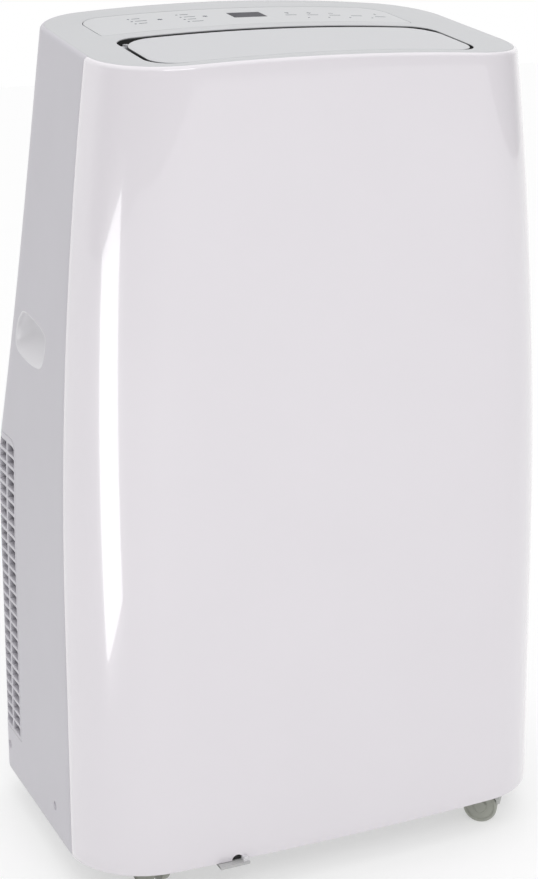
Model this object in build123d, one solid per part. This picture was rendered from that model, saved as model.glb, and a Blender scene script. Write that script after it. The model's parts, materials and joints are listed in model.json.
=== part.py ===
"""Portable air conditioner on four casters.

Frame: origin at the centre of the floor footprint, +Z up, the glossy front faces -Y.
All lengths are in millimetres.  Every node is written to parts/NODE.step.
"""
import os
from math import cos, radians, sin, sqrt

from build123d import *

# ---------------------------------------------------------------- driving dimensions
WIDTH = 430.0               # widest part of the casing
WALL = 2.5                  # moulded wall
FIT_GAP = 0.3               # gap between neighbouring mouldings
FLOOR_Z = -6.6              # the floor in this drawing; the parts are written with it at zero
SKIRT_Z = 24.4              # lower edge of the casing
FRONT_Y = -154.0            # front face at the skirt
FRONT_LEAN = 2.4            # how far the front face leans out towards the top
REAR_Y = 141.0              # rear face of the lower block
NECK_DEPTH = 67.5           # how far the rear face steps in above the lower block
NECK_POWER = 2.2            # shape of the neck curve
KINK_Z = 324.5              # where the lower block ends and the neck begins
SHOULDER_Z = 231.5          # where the sides start to lean in
SIDE_LEAN = 28.9            # how far each side leans in at the top
FRONT_CORNER_R = 69.4
REAR_CORNER_R = 45.8
FRONT_BOW_R = 2600.0        # plan radius of the slightly bowed front
REAR_BOW_R = 2400.0
TOP_FRONT_Z = 684.5         # top surface at the middle of the front edge
TOP_SLOPE = 0.125           # rise of the top surface towards the rear
TOP_CROWN_R = 1930.0        # radius of the crown across the top
LOFT_TOP_Z = 730.0          # the body is lofted to here and trimmed by the top surface
SEAM_Y = -86.0              # joint between front panel and rear casing

FLAP_X = -8.0               # middle of the outlet opening
OPENING = (284.0, -141.3, -43.0)     # width, front and rear edge of the opening
FLAP = (277.0, -140.5, -51.0)        # the same for the flap
OPENING_CORNER_R = 18.0              # rear corners
FLAP_CORNER_R = 27.0                 # rear corners
OUTLET_FRONT_R = 26.0                # front corners of both
FLAP_AXIS = (-60.0, 686.0)           # y, z
COVER_T = 3.0                        # thickness of top cover and flap
FLAP_PIN_R = 2.5

CONTROL = (280.0, -28.0, 40.0)       # width, front and rear edge of the control field
CONTROL_X = -12.0
CONTROL_CORNER_R = 24.0
CONTROL_FRONT_R = 4.0
CONTROL_DEPTH = 1.2
DISPLAY = (30.0, 20.0)
DISPLAY_X, DISPLAY_Y = -10.0, 10.0

HANDLE_Y, HANDLE_Z = 4.0, 444.0
HANDLE = (76.0, 36.0)
HANDLE_CORNER_R = 15.0
HANDLE_DEPTH = 24.0

GRILLE_LOW, GRILLE_HIGH = 66.0, 345.0
GRILLE_FRONT_Y = 50.0
GRILLE_END_X = 100.0
GRILLE_BORDER = 5.0
ROW_PITCH = 10.48
ROW_COUNT = 26
ROW_BAR = 2.6
FIRST_ROW_Z = 67.6

REAR_GRILLE = (260.0, 352.0, 648.0)  # width, lower and upper edge
REAR_ROWS = 23
REAR_SLOT = 9.0

PORT_Z = 236.0
PORT_R = 70.0               # free radius of the exhaust port
PORT_REAR_Y = 158.0
PORT_FRONT_Y = 127.0

PAN_Z = 38.0                # underside of the base pan floor
PAN_T = 3.0
PAN_WALL_TOP = 62.0
TAB_X = -97.0
TAB_FRONT_Y = -158.0
TAB_LOW, TAB_HIGH = 22.0, 24.1      # the tab lies just under the skirt

CASTER_R = 15.0
CASTER_TRAIL = 12.0
CASTER_X = 149.0
CASTER_FRONT_Y = -113.0
CASTER_REAR_Y = 88.0
CASTER_HALF_WIDTH = 12.0
CASTER_HEADINGS = {"front_left": 100.0, "front_right": -37.7, "rear_left": 78.0, "rear_right": 62.0}
STEM_R = 4.0
SOCKET_HEIGHT = 12.0
AXLE_R = 2.5
RUNNING_FIT = 0.08

VANE_COUNT = 5
VANE_PITCH = 40.0
VANE_Z = 650.0
VANE_PIN_R = 2.0
DUCT_HALF_X, DUCT_FRONT_Y, DUCT_REAR_Y = 112.0, -120.0, -50.0
DUCT_LOW, DUCT_HIGH = 600.0, 678.0
TIE_DROP = 16.0             # tie bar pins lie this far below the vane axes
TIE_Y = -85.0
TIE_PIN_R = 1.5

nodes = {}


# ---------------------------------------------------------------- body outline
def half_width(z):
    lean = max(0.0, (z - SHOULDER_Z) / (687.0 - SHOULDER_Z))
    return WIDTH / 2 - SIDE_LEAN * lean**2


def front_y(z):
    return FRONT_Y - FRONT_LEAN * (z - SKIRT_Z) / (TOP_FRONT_Z - SKIRT_Z)


def rear_y(z):
    rise = min(1.0, max(0.0, (z - KINK_Z) / (687.0 - KINK_Z)))
    return REAR_Y - NECK_DEPTH * (1 - (1 - rise) ** NECK_POWER)


def corner(half, face, corner_r, bow_r, side):
    """Centre of a corner arc and the unit vector to where it meets the bowed face."""
    bow_y = face - side * bow_r
    dy = sqrt((bow_r - corner_r) ** 2 - (half - corner_r) ** 2)
    centre = Vector(half - corner_r, bow_y + side * dy)
    toward = (centre - Vector(0, bow_y)).normalized()
    return centre, toward


def outline(z, inset=0.0):
    """Plan outline of the body at height z, pulled in by inset, as a face."""
    half = half_width(z) - inset
    front, rear = front_y(z) + inset, rear_y(z) - inset
    rf, rr = FRONT_CORNER_R - inset, REAR_CORNER_R - inset
    cf, uf = corner(half, front, rf, FRONT_BOW_R - inset, -1)
    cr, ur = corner(half, rear, rr, REAR_BOW_R - inset, 1)
    mid_f = (uf + Vector(1, 0)).normalized()
    mid_r = (ur + Vector(1, 0)).normalized()
    pf, sf = cf + uf * rf, cf + Vector(rf, 0)
    pr, sr = cr + ur * rr, cr + Vector(rr, 0)

    def flip(point):
        return Vector(-point.X, point.Y)

    edges = [
        ThreePointArc(flip(pf), Vector(0, front), pf),
        ThreePointArc(pf, cf + mid_f * rf, sf),
        Line(sf, sr),
        ThreePointArc(sr, cr + mid_r * rr, pr),
        ThreePointArc(pr, Vector(0, rear), flip(pr)),
        ThreePointArc(flip(pr), flip(cr + mid_r * rr), flip(sr)),
        Line(flip(sr), flip(sf)),
        ThreePointArc(flip(sf), flip(cf + mid_f * rf), flip(pf)),
    ]
    return Pos(0, 0, z) * make_face(edges)


LOWER_HEIGHTS = [120.0, SHOULDER_Z, 280.0, KINK_Z]
UPPER_HEIGHTS = [KINK_Z, 345.0, 375.0, 420.0, 480.0, 560.0, 640.0, LOFT_TOP_Z]


def lower_block(inset=0.0, low=SKIRT_Z):
    return loft([outline(z, inset) for z in [low] + LOWER_HEIGHTS])


def upper_block(inset=0.0):
    return loft([outline(z, inset) for z in UPPER_HEIGHTS])


def body(inset=0.0, low=SKIRT_Z):
    return lower_block(inset, low) + upper_block(inset)


def under_top(depth=0.0):
    """Everything below the crowned, sloping top surface, lowered by depth."""
    reach = 260.0
    drop = TOP_CROWN_R - sqrt(TOP_CROWN_R**2 - reach**2)
    plane = Plane(origin=(0, FRONT_Y, TOP_FRONT_Z - depth), x_dir=(1, 0, 0), z_dir=(0, 1, TOP_SLOPE))
    roof = make_face([
        ThreePointArc((-reach, drop), (0, 0), (reach, drop)),
        Line((reach, drop), (reach, 800)),
        Line((reach, 800), (-reach, 800)),
        Line((-reach, 800), (-reach, drop)),
    ])
    return extrude(plane * roof, 400.0, both=True)


def top_z(x, y):
    """Height of the top surface."""
    return TOP_FRONT_Z + TOP_SLOPE * (y - FRONT_Y) - x * x / (2 * TOP_CROWN_R)


def block(x0, x1, y0, y1, z0, z1):
    """A box between two corners."""
    size = Box(x1 - x0, y1 - y0, z1 - z0)
    return Pos((x0 + x1) / 2, (y0 + y1) / 2, (z0 + z1) / 2) * size


def rod(start, direction, length, radius):
    """A cylinder that starts at a point and runs along X, Y or Z."""
    turn = {"x": Rot(0, 90, 0), "y": Rot(-90, 0, 0), "z": Rot(0, 0, 0)}[direction]
    drum = Cylinder(radius, length, align=(Align.CENTER, Align.CENTER, Align.MIN))
    return Pos(*start) * turn * drum


def tube(start, direction, length, outer, inner):
    step = {"x": (1, 0, 0), "y": (0, 1, 0), "z": (0, 0, 1)}[direction]
    back = tuple(s - d for s, d in zip(start, step))
    return rod(start, direction, length, outer) - rod(back, direction, length + 2, inner)


def top_prism(width, front, rear, rear_r, front_r, x=0.0):
    """A vertical prism over the top cover with its own rear and front corner radii."""
    depth = rear - front
    middle = (front + rear) / 2
    face = Rectangle(width, depth)
    corners = face.vertices()
    face = fillet(corners.filter_by(lambda v: v.Y > 0), rear_r)
    face = fillet(face.vertices().sort_by(Axis.Y)[:2], front_r)
    return Pos(x, middle, 600) * extrude(face, 200)


# ---------------------------------------------------------------- casing shells
outer = body()
inner = body(WALL, SKIRT_Z - 6)
trim = under_top()
shell = (outer - inner) & trim
liner = body(WALL + FIT_GAP, SKIRT_Z - 6) & trim

notch = rod((TAB_X + 4, -180, SKIRT_Z), "y", 60, 5.0)
nodes["front_panel"] = (shell & block(-300, 300, -300, SEAM_Y - 0.2, 0, 800)) - notch

SCREW_YZ = [(-43.5, 48.8), (89.5, 47.8)]
SCREW_HOLE_R = 4.2


def grille_zone(grow):
    """Where the side grille sits on the left: from the side round the corner to the rear."""
    return block(-300, -GRILLE_END_X + grow, GRILLE_FRONT_Y - grow, 300, GRILLE_LOW - grow, GRILLE_HIGH + grow)


def handle_prism(grow):
    face = RectangleRounded(HANDLE[0] + 2 * grow, HANDLE[1] + 2 * grow, HANDLE_CORNER_R + grow)
    side = Plane(origin=(0, HANDLE_Y, HANDLE_Z), x_dir=(0, 1, 0), z_dir=(1, 0, 0))
    return extrude(side * face, 300)


def rear_window(grow):
    width, low, high = REAR_GRILLE
    half = width / 2 + grow
    return block(-half, half, 20, 300, low - grow, high + grow)


rear = shell & block(-300, 300, SEAM_Y + 0.2, 300, 0, 800)
zone = grille_zone(FIT_GAP)
rear -= zone
rear -= mirror(zone, Plane.YZ)
rear -= rear_window(FIT_GAP)
rear -= handle_prism(0)
rear -= mirror(handle_prism(0), Plane.YZ)
rear -= rod((0, 100, PORT_Z), "y", 100, PORT_R + 7)
SPOUTS = {"upper": (88.0, 316.0), "lower": (-30.0, 54.0)}
SPOUT_R = 7.0
SPOUT_BORE = 5.0
for x, z in SPOUTS.values():
    rear -= rod((x, 100, z), "y", 100, SPOUT_R + 1)
GLAND_X, GLAND_Z, GLAND_R = -80.0, 108.0, 9.0
rear -= rod((GLAND_X, 100, GLAND_Z), "y", 100, GLAND_R)
for y, z in SCREW_YZ:
    rear -= rod((-300, y, z), "x", 600, SCREW_HOLE_R)
nodes["rear_casing"] = rear

# ---------------------------------------------------------------- grilles
panel = shell & grille_zone(0)
rows = []
side_columns = [(GRILLE_FRONT_Y + GRILLE_BORDER, 66.0), (70.0, 86.0)]
rear_columns = [(-GRILLE_END_X - GRILLE_BORDER - 24, -GRILLE_END_X - GRILLE_BORDER), (-157.0, -133.0)]
corner_columns = [(172.0, 140.0), (132.0, 100.0)]
corner_x, corner_y = -WIDTH / 2 + REAR_CORNER_R, REAR_Y - REAR_CORNER_R
columns = [block(-230, -195, y0, y1, 0, 500) for y0, y1 in side_columns]
columns += [block(x0, x1, 100, 160, 0, 500) for x0, x1 in rear_columns]
for a0, a1 in corner_columns:
    wedge = [(corner_x, corner_y)]
    wedge += [(corner_x + 80 * cos(radians(a)), corner_y + 80 * sin(radians(a))) for a in (a0, a1)]
    columns.append(extrude(make_face(Polyline(*wedge, close=True)), 500))
for i in range(ROW_COUNT):
    low = FIRST_ROW_Z + i * ROW_PITCH + ROW_BAR / 2
    rows.append(block(-300, 0, 0, 300, low, low + ROW_PITCH - ROW_BAR))
slots = [column & row for column in columns for row in rows]
nodes["lower_grille_left"] = panel - slots
nodes["lower_grille_right"] = mirror(nodes["lower_grille_left"], Plane.YZ)

rear_panel = (shell & rear_window(0)) - block(-300, 300, -300, 0, 0, 800)
pitch = (REAR_GRILLE[2] - REAR_GRILLE[1] - 12) / REAR_ROWS
rear_slots = []
for i in range(REAR_ROWS):
    low = REAR_GRILLE[1] + 6 + i * pitch + (pitch - REAR_SLOT) / 2
    for x in (-84.0, 0.0, 84.0):
        rear_slots.append(block(x - 39, x + 39, 20, 200, low, low + REAR_SLOT))
nodes["upper_grille"] = rear_panel - rear_slots
pad = (upper_block(WALL + 1.5) - upper_block(WALL + 4.0)) & rear_window(-4)
nodes["upper_filter"] = pad & block(-300, 300, 20, 300, 0, 800)

# ---------------------------------------------------------------- top cover, flap and controls
cover_skin = (upper_block(WALL + FIT_GAP) & trim) - under_top(COVER_T)
opening = top_prism(*OPENING, OPENING_CORNER_R, OUTLET_FRONT_R, FLAP_X)
control = top_prism(*CONTROL, CONTROL_CORNER_R, CONTROL_FRONT_R, CONTROL_X)
control_skin = trim - under_top(CONTROL_DEPTH)
cover = cover_skin - opening - (control & control_skin)
axis_y, axis_z = FLAP_AXIS
BOSS_IN, BOSS_OUT = OPENING[0] / 2 + 1.5, OPENING[0] / 2 + 7.5
for side in (-1, 1):
    x0, x1 = sorted((FLAP_X + side * BOSS_IN, FLAP_X + side * BOSS_OUT))
    boss = block(x0, x1, axis_y - 6, axis_y + 6, axis_z - 6, axis_z + 12) & under_top(COVER_T / 2)
    cover += boss
    cover -= rod((x0 - 3, axis_y, axis_z), "x", x1 - x0 + 6, FLAP_PIN_R + RUNNING_FIT)
nodes["top_cover"] = cover

flap = (trim - under_top(COVER_T)) & top_prism(*FLAP, FLAP_CORNER_R, OUTLET_FRONT_R, FLAP_X)
for side in (-1, 1):
    x0, x1 = sorted((FLAP_X + side * (FLAP[0] / 2 - 6), FLAP_X + side * (FLAP[0] / 2 - 2)))
    flap += block(x0, x1, axis_y - 5, axis_y + 4, axis_z - 5, axis_z + 12) & under_top(COVER_T / 2)
    start, end = sorted((FLAP_X + side * (FLAP[0] / 2 - 4), FLAP_X + side * (BOSS_OUT - 0.5)))
    flap += rod((start, axis_y, axis_z), "x", end - start, FLAP_PIN_R)
nodes["outlet_flap"] = flap

window = Pos(DISPLAY_X, DISPLAY_Y, 600) * extrude(Rectangle(*DISPLAY), 200)
overlay_skin = under_top(0.1) - under_top(CONTROL_DEPTH)
width, low_y, high_y = CONTROL
field = top_prism(width - 1, low_y + 0.5, high_y - 0.5, CONTROL_CORNER_R - 0.5, CONTROL_FRONT_R, CONTROL_X)
overlay = overlay_skin & field
nodes["control_overlay"] = overlay - window
lens = extrude(Rectangle(DISPLAY[0] - 0.4, DISPLAY[1] - 0.4), 200)
nodes["display_window"] = overlay_skin & (Pos(DISPLAY_X, DISPLAY_Y, 600) * lens)
board_tilt = 7.125
board = Pos(0, 14, top_z(80, 14) - COVER_T - 3) * Rot(board_tilt, 0, 0)
board_solid = board * Box(170, 40, 1.6)
for x in (-75.0, 75.0):
    board_solid += board * Pos(x, 0, 1.5) * Cylinder(3, 3)
board_solid += board * Pos(0, 0, 1.5) * Box(26, 16, 2)
nodes["display_board"] = board_solid

# ---------------------------------------------------------------- handles
handle_floor = half_width(HANDLE_Z) - HANDLE_DEPTH
cup = handle_prism(2) & liner & block(handle_floor - 2, 300, -200, 200, 0, 800)
cup -= handle_prism(0) & block(handle_floor, 300, -200, 200, 0, 800)
nodes["handle_cup_right"] = cup
nodes["handle_cup_left"] = mirror(cup, Plane.YZ)

# ---------------------------------------------------------------- base pan and caster sockets
pan_zone = block(-300, 300, -300, 300, PAN_Z, PAN_WALL_TOP)
pan = liner & pan_zone
pan -= body(WALL + FIT_GAP + 2.5, SKIRT_Z - 6) & block(-300, 300, -300, 300, PAN_Z + PAN_T, 200)
pan += block(TAB_X - 13, TAB_X + 13, -146, -140, TAB_LOW, PAN_Z)
pan += block(TAB_X - 13, TAB_X + 13, TAB_FRONT_Y, -141, TAB_LOW, TAB_HIGH)
for x in (-60.0, 60.0):
    pan += block(x - 2, x + 2, -110, 100, 28, PAN_Z)
for y in (-60.0, 0.0, 60.0):
    pan += block(-170, 170, y - 2, y + 2, 28, PAN_Z)
caster_places = {}
for name in CASTER_HEADINGS:
    x = CASTER_X * (1 if "right" in name else -1)
    y = CASTER_FRONT_Y if "front" in name else CASTER_REAR_Y
    caster_places[name] = (x, y)
    pan -= rod((x, y, 30), "z", 20, 6.5)
for y, z in SCREW_YZ:
    pan -= rod((-300, y, z), "x", 600, 1.8)
lower_x, lower_z = SPOUTS["lower"]
pan -= rod((lower_x, 100, lower_z), "y", 100, SPOUT_R)
nodes["base_pan"] = pan

sockets = []
for x, y in caster_places.values():
    socket = rod((x, y, PAN_Z + PAN_T), "z", 3, 14) + rod((x, y, PAN_Z + PAN_T), "z", SOCKET_HEIGHT, 7.5)
    sockets.append(socket - rod((x, y, 30), "z", 60, STEM_R + RUNNING_FIT))
nodes["caster_sockets"] = Compound(children=sockets)


# ---------------------------------------------------------------- casters
def caster(heading):
    """Yoke and wheel pair on a floor at zero, trailing along +X, then turned to the heading."""
    top = PAN_Z - FLOOR_Z - 1.5
    cap_z = 2 * CASTER_R + 3.5
    yoke = rod((0, 0, cap_z), "z", top - cap_z, 15) + rod((0, 0, cap_z), "z", top - cap_z + 18, STEM_R)
    hood = rod((CASTER_TRAIL, -12.5, CASTER_R), "y", 25, CASTER_R + 3.4)
    hood += block(-6, CASTER_TRAIL, -12.5, 12.5, CASTER_R + 8, cap_z + 0.5)
    hood -= rod((CASTER_TRAIL, -13, CASTER_R), "y", 26, CASTER_R + 1.4)
    hood &= block(-30, 60, -20, 20, CASTER_R + 5, cap_z + 0.5)
    web = rod((CASTER_TRAIL, -3, CASTER_R), "y", 6, 7)
    web += block(-2, CASTER_TRAIL + 7, -3, 3, CASTER_R, cap_z)
    yoke += hood + web
    yoke -= rod((CASTER_TRAIL, -20, CASTER_R), "y", 40, AXLE_R + RUNNING_FIT)
    wheels = rod((CASTER_TRAIL, -CASTER_HALF_WIDTH, CASTER_R), "y", 2 * CASTER_HALF_WIDTH, AXLE_R)
    for y in (-CASTER_HALF_WIDTH, CASTER_HALF_WIDTH - 8):
        disc = rod((CASTER_TRAIL, y, CASTER_R), "y", 8, CASTER_R)
        wheels += fillet(disc.edges(), 1.2)
    return Rot(0, 0, heading) * yoke, Rot(0, 0, heading) * wheels


for name, (x, y) in caster_places.items():
    yoke, wheels = caster(CASTER_HEADINGS[name])
    nodes["caster_yoke_" + name] = Pos(x, y, FLOOR_Z) * yoke
    nodes["caster_wheels_" + name] = Pos(x, y, FLOOR_Z) * wheels

# ---------------------------------------------------------------- rear fittings
collar = tube((0, PORT_FRONT_Y, PORT_Z), "y", PORT_REAR_Y - PORT_FRONT_Y, PORT_R + 4.5, PORT_R)
collar += tube((0, REAR_Y + FIT_GAP, PORT_Z), "y", 3, PORT_R + 14, PORT_R + 1)
for angle in (45, 135, 225, 315):
    x, z = 80 * cos(radians(angle)), PORT_Z + 80 * sin(radians(angle))
    collar += rod((x, REAR_Y + 2, z), "y", 2.4, 3)
nodes["exhaust_collar"] = collar

gland = tube((GLAND_X, 126, GLAND_Z), "y", 24, GLAND_R - 0.2, 4.2)
gland += tube((GLAND_X, REAR_Y + FIT_GAP, GLAND_Z), "y", 4, GLAND_R + 5, 4.2)
nodes["power_inlet_gland"] = gland

hooks = []
for z in (74.0, 140.0):
    lip = 1 if z > 100 else -1
    hook = rod((70, REAR_Y + FIT_GAP - 0.2, z), "y", 16, 6)
    hook += block(63, 77, REAR_Y + 13, REAR_Y + 17, min(z - 6, z + lip * 26), max(z + 6, z + lip * 26))
    hooks.append(hook)
nodes["cord_hooks"] = Compound(children=hooks)

spouts = []
for key, (x, z) in SPOUTS.items():
    spout = tube((x, 112, z), "y", 34, SPOUT_R - 0.2, SPOUT_BORE)
    spouts.append(spout)
    plug = rod((x, REAR_Y + 5.4, z), "y", 5, 8.5) + rod((x, REAR_Y - 9, z), "y", 16, SPOUT_BORE - 0.06)
    plug += block(x - 1.5, x + 1.5, REAR_Y + 10, REAR_Y + 16, z - 7, z + 7)
    nodes[key + "_drain_plug"] = plug
nodes["drain_spouts"] = Compound(children=spouts)

screws = []
for side in (-1, 1):
    for y, z in SCREW_YZ:
        head_x = side * (WIDTH / 2 - 2.6)
        head = rod((min(head_x, head_x + side * 2), y, z), "x", 2, 4)
        shank = rod((min(head_x, head_x - side * 8), y, z), "x", 8, 1.8)
        screws.append(head + shank)
nodes["casing_screws"] = Compound(children=screws)

# ---------------------------------------------------------------- outlet duct, vanes and drives
duct = block(-DUCT_HALF_X, DUCT_HALF_X, DUCT_FRONT_Y, DUCT_REAR_Y, DUCT_LOW, DUCT_HIGH)
duct -= block(-DUCT_HALF_X + 2.5, DUCT_HALF_X - 2.5, DUCT_FRONT_Y + 2.5, DUCT_REAR_Y - 2.5, 500, 800)
vane_xs = [(i - (VANE_COUNT - 1) / 2) * VANE_PITCH for i in range(VANE_COUNT)]
for x in vane_xs:
    duct -= rod((x, -200, VANE_Z), "y", 300, VANE_PIN_R + RUNNING_FIT)
nodes["outlet_duct"] = duct
for i, x in enumerate(vane_xs):
    vane = block(x - 1, x + 1, DUCT_FRONT_Y + 5, DUCT_REAR_Y - 5, VANE_Z - 20, VANE_Z + 18)
    vane -= block(x - 2, x + 2, TIE_Y - 5, TIE_Y + 5, VANE_Z - 30, VANE_Z - TIE_DROP + 6)
    vane += rod((x, DUCT_FRONT_Y + 0.4, VANE_Z), "y", DUCT_REAR_Y - DUCT_FRONT_Y - 0.8, VANE_PIN_R)
    vane += rod((x, TIE_Y - 6, VANE_Z - TIE_DROP), "y", 12, TIE_PIN_R)
    nodes[f"guide_vane_{i + 1}"] = vane
tie_z = VANE_Z - TIE_DROP
tie = block(vane_xs[0] - 6, vane_xs[-1] + 6, TIE_Y - 2, TIE_Y + 2, tie_z - 3.5, tie_z + 3.5)
for x in vane_xs:
    tie -= rod((x, TIE_Y - 9, tie_z), "y", 18, TIE_PIN_R + RUNNING_FIT)
nodes["vane_tie_bar"] = tie
vane_motor = rod((vane_xs[0], DUCT_FRONT_Y - 20, VANE_Z), "y", 20, 14)
vane_motor += block(vane_xs[0] - 20, vane_xs[0] + 20, DUCT_FRONT_Y - 2, DUCT_FRONT_Y, VANE_Z - 4, VANE_Z + 4)
nodes["vane_motor"] = vane_motor
motor_x = FLAP_X - BOSS_OUT - 2
flap_motor = rod((motor_x - 18, axis_y, axis_z - 13), "x", 18, 10)
flap_motor += block(motor_x - 2, motor_x, axis_y - 18, axis_y + 18, axis_z - 17, axis_z - 9)
nodes["flap_motor"] = flap_motor


# ---------------------------------------------------------------- blowers
def blower_wheel(x, z, y0, y1, radius, blades):
    """Forward-curved wheel: hub disc at the front, a ring at the rear and blades between."""
    wheel = rod((x, y0, z), "y", 2.5, radius)
    wheel += tube((x, y1 - 4, z), "y", 4, radius, radius - 13)
    wheel += rod((x, y0, z), "y", 16, 12)
    blade = block(radius - 12, radius - 1, y0 + 1, y1 - 1, -0.9, 0.9)
    for i in range(blades):
        wheel += Pos(x, 0, z) * Rot(0, 360 / blades * i, 0) * Pos(radius - 6, 0, 0) * Rot(0, 35, 0) * (
            Pos(-(radius - 6), 0, 0) * blade)
    return wheel


def hollow(profile, profile_in, y0, y1):
    """A scroll housing: an XZ profile between two Y planes with its inside removed."""
    lift = Plane(origin=(0, y1, 0), x_dir=(1, 0, 0), z_dir=(0, -1, 0))
    lift_in = Plane(origin=(0, y1 - WALL, 0), x_dir=(1, 0, 0), z_dir=(0, -1, 0))
    return extrude(lift * profile, y1 - y0) - extrude(lift_in * profile_in, y1 - y0 - 2 * WALL)


COND_X, COND_Z, COND_R = -70.0, 142.0, 72.0
profile = Pos(COND_X, COND_Z) * Circle(95) + Pos(-5, COND_Z + 60) * Rectangle(130, 70)
profile_in = Pos(COND_X, COND_Z) * Circle(92.5) + Pos(-5, COND_Z + 60) * Rectangle(125, 65)
volute = hollow(profile, profile_in, -8, 50)
volute -= rod((COND_X, 40, COND_Z), "y", 20, 58)
volute -= rod((COND_X, -20, COND_Z), "y", 20, 10)
volute -= block(0, 54, 40, 60, COND_Z + 32, COND_Z + 88)
nodes["condenser_volute"] = volute
wheel = blower_wheel(COND_X, COND_Z, 0, 42, COND_R, 24)
nodes["condenser_blower_wheel"] = wheel - rod((COND_X, -1, COND_Z), "y", 12, 4)
motor = rod((COND_X, -70, COND_Z), "y", 60, 46) + rod((COND_X, -10, COND_Z), "y", 20, 4)
motor += block(COND_X - 40, COND_X + 40, -62, -18, PAN_Z + PAN_T, PAN_Z + PAN_T + 3)
motor += block(COND_X - 30, COND_X + 30, -44, -36, PAN_Z + PAN_T, COND_Z)
nodes["condenser_fan_motor"] = motor
plenum = tube((0, 50, PORT_Z), "y", PORT_FRONT_Y - 50, PORT_R + 8, PORT_R + 5.5)
plenum += rod((0, 50, PORT_Z), "y", 2.5, PORT_R + 8) - block(0, 54, 40, 60, COND_Z + 32, COND_Z + 88)
nodes["exhaust_duct"] = plenum

EVAP_Z, EVAP_R = 468.0, 86.0
profile = Pos(0, EVAP_Z) * Circle(110) + Pos(0, (EVAP_Z + DUCT_LOW) / 2) * Rectangle(220, DUCT_LOW - EVAP_Z)
profile_in = Pos(0, EVAP_Z) * Circle(107.5) + Pos(0, (EVAP_Z + 700) / 2) * Rectangle(215, 700 - EVAP_Z)
volute = hollow(profile, profile_in, DUCT_FRONT_Y, DUCT_REAR_Y)
volute -= rod((0, -60, EVAP_Z), "y", 20, 68)
volute -= rod((0, -130, EVAP_Z), "y", 20, 10)
nodes["evaporator_volute"] = volute
wheel = blower_wheel(0, EVAP_Z, -112, -58, EVAP_R, 28)
nodes["evaporator_blower_wheel"] = wheel - rod((0, -113, EVAP_Z), "y", 12, 4)
motor = rod((0, -146, EVAP_Z), "y", 24, 40) + rod((0, -122, EVAP_Z), "y", 20, 4)
motor += block(-70, 70, -123, -120, EVAP_Z - 8, EVAP_Z + 8)
nodes["evaporator_fan_motor"] = motor


# ---------------------------------------------------------------- coils
def coil(half_x, y0, y1, z0, z1, bends):
    """Finned block with end plates and the hairpin bends that join its tubes."""
    core = block(-half_x, half_x, y0 + 1, y1 - 1, z0 + 1, z1 - 1)
    for side in (-1, 1):
        x0, x1 = sorted((side * half_x, side * (half_x + 2)))
        core += block(x0, x1, y0, y1, z0, z1)
        for i in range(bends):
            z = z0 + (i + 0.5) * (z1 - z0) / bends
            ring = Pos(side * (half_x + 2), (y0 + y1) / 2, z) * Rot(90, 0, 0) * Torus(6, 2.5)
            core += ring & block(min(x0, 300 * side), max(x1, 300 * side), y0, y1, z - 10, z + 10)
    return core


COIL_LOW, COIL_HIGH = 62.0, 154.0
condenser = coil(168, 84, 110, COIL_LOW, COIL_HIGH, 5)
for x in (-110.0, 110.0):
    condenser += block(x - 12, x + 12, 88, 106, PAN_Z + PAN_T, COIL_LOW + 2)
nodes["condenser_coil"] = condenser
nodes["evaporator_coil"] = coil(150, 38, 62, 328, 600, 9)

# ---------------------------------------------------------------- mid tray
TRAY_Z = 318.0
tray = block(-172, 172, -118, 104, TRAY_Z, TRAY_Z + 22) - block(-169, 169, -115, 101, TRAY_Z + 3, 400)
tray -= block(140, 165, -30, 20, 300, 400)
tray += block(-150, 150, 36, 64, TRAY_Z + 3, 328)
nodes["partition_tray"] = tray

# ---------------------------------------------------------------- refrigerant circuit
COMP_X, COMP_Y, COMP_R = 120.0, -62.0, 55.0
FEET_R = 66.0
comp = fillet(rod((COMP_X, COMP_Y, 62), "z", 180, COMP_R).edges(), 22)
feet = [(COMP_X + FEET_R * cos(radians(a)), COMP_Y + FEET_R * sin(radians(a))) for a in (95, 215, 335)]
for x, y in feet:
    comp += rod((x, y, 56), "z", 4, 11)
comp += rod((COMP_X, COMP_Y, 56), "z", 10, 62) - rod((COMP_X, COMP_Y, 60), "z", 10, COMP_R - 12)
for x, y in feet:
    comp -= rod((x, y, 50), "z", 20, 5)
comp += block(COMP_X - 22, COMP_X + 22, COMP_Y - 34, COMP_Y + 6, 238, 262)
nodes["compressor"] = comp
grommets = []
for x, y in feet:
    grommets.append(tube((x, y, PAN_Z + PAN_T), "z", 15, 9, 3) + tube((x, y, PAN_Z + PAN_T), "z", 19, 5, 3))
nodes["compressor_grommets"] = Compound(children=grommets)
ACC_X, ACC_Y = 46.0, -112.0
nodes["accumulator"] = fillet(rod((ACC_X, ACC_Y, 80), "z", 120, 22).edges(), 10)
nodes["filter_drier"] = fillet(rod((150, 30, 226), "z", 60, 9).edges(), 4)


def pipe(points, radius, bend):
    """A bent copper pipe along straight runs joined by tangent arcs."""
    path = FilletPolyline(*points, radius=bend)
    end = Plane(origin=path @ 0, z_dir=path % 0)
    return sweep(end * Circle(radius), path=path)


discharge = pipe([(COMP_X, COMP_Y + 16, 242), (COMP_X, COMP_Y + 16, 285), (COMP_X, 97, 285),
                  (160, 97, 285), (160, 97, COIL_HIGH)], 4, 12)
suction = pipe([(ACC_X, ACC_Y, 200), (ACC_X, ACC_Y, 300), (158, ACC_Y, 300), (158, -10, 300),
                (158, -10, 400), (158, 34, 400)], 5, 14)
liquid = pipe([(150, 30, 286), (150, 30, 300), (150, 5, 300), (150, 5, 440), (156, 34, 440)], 3, 6)
nodes["refrigerant_pipes"] = Compound(children=[discharge, suction, liquid])
turns = Helix(pitch=4.5, height=27, radius=18, center=(150, 30, 180))
start = Plane(origin=turns @ 0, z_dir=turns % 0)
nodes["capillary_tube"] = sweep(start * Circle(1.5), path=turns, is_frenet=True)

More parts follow.
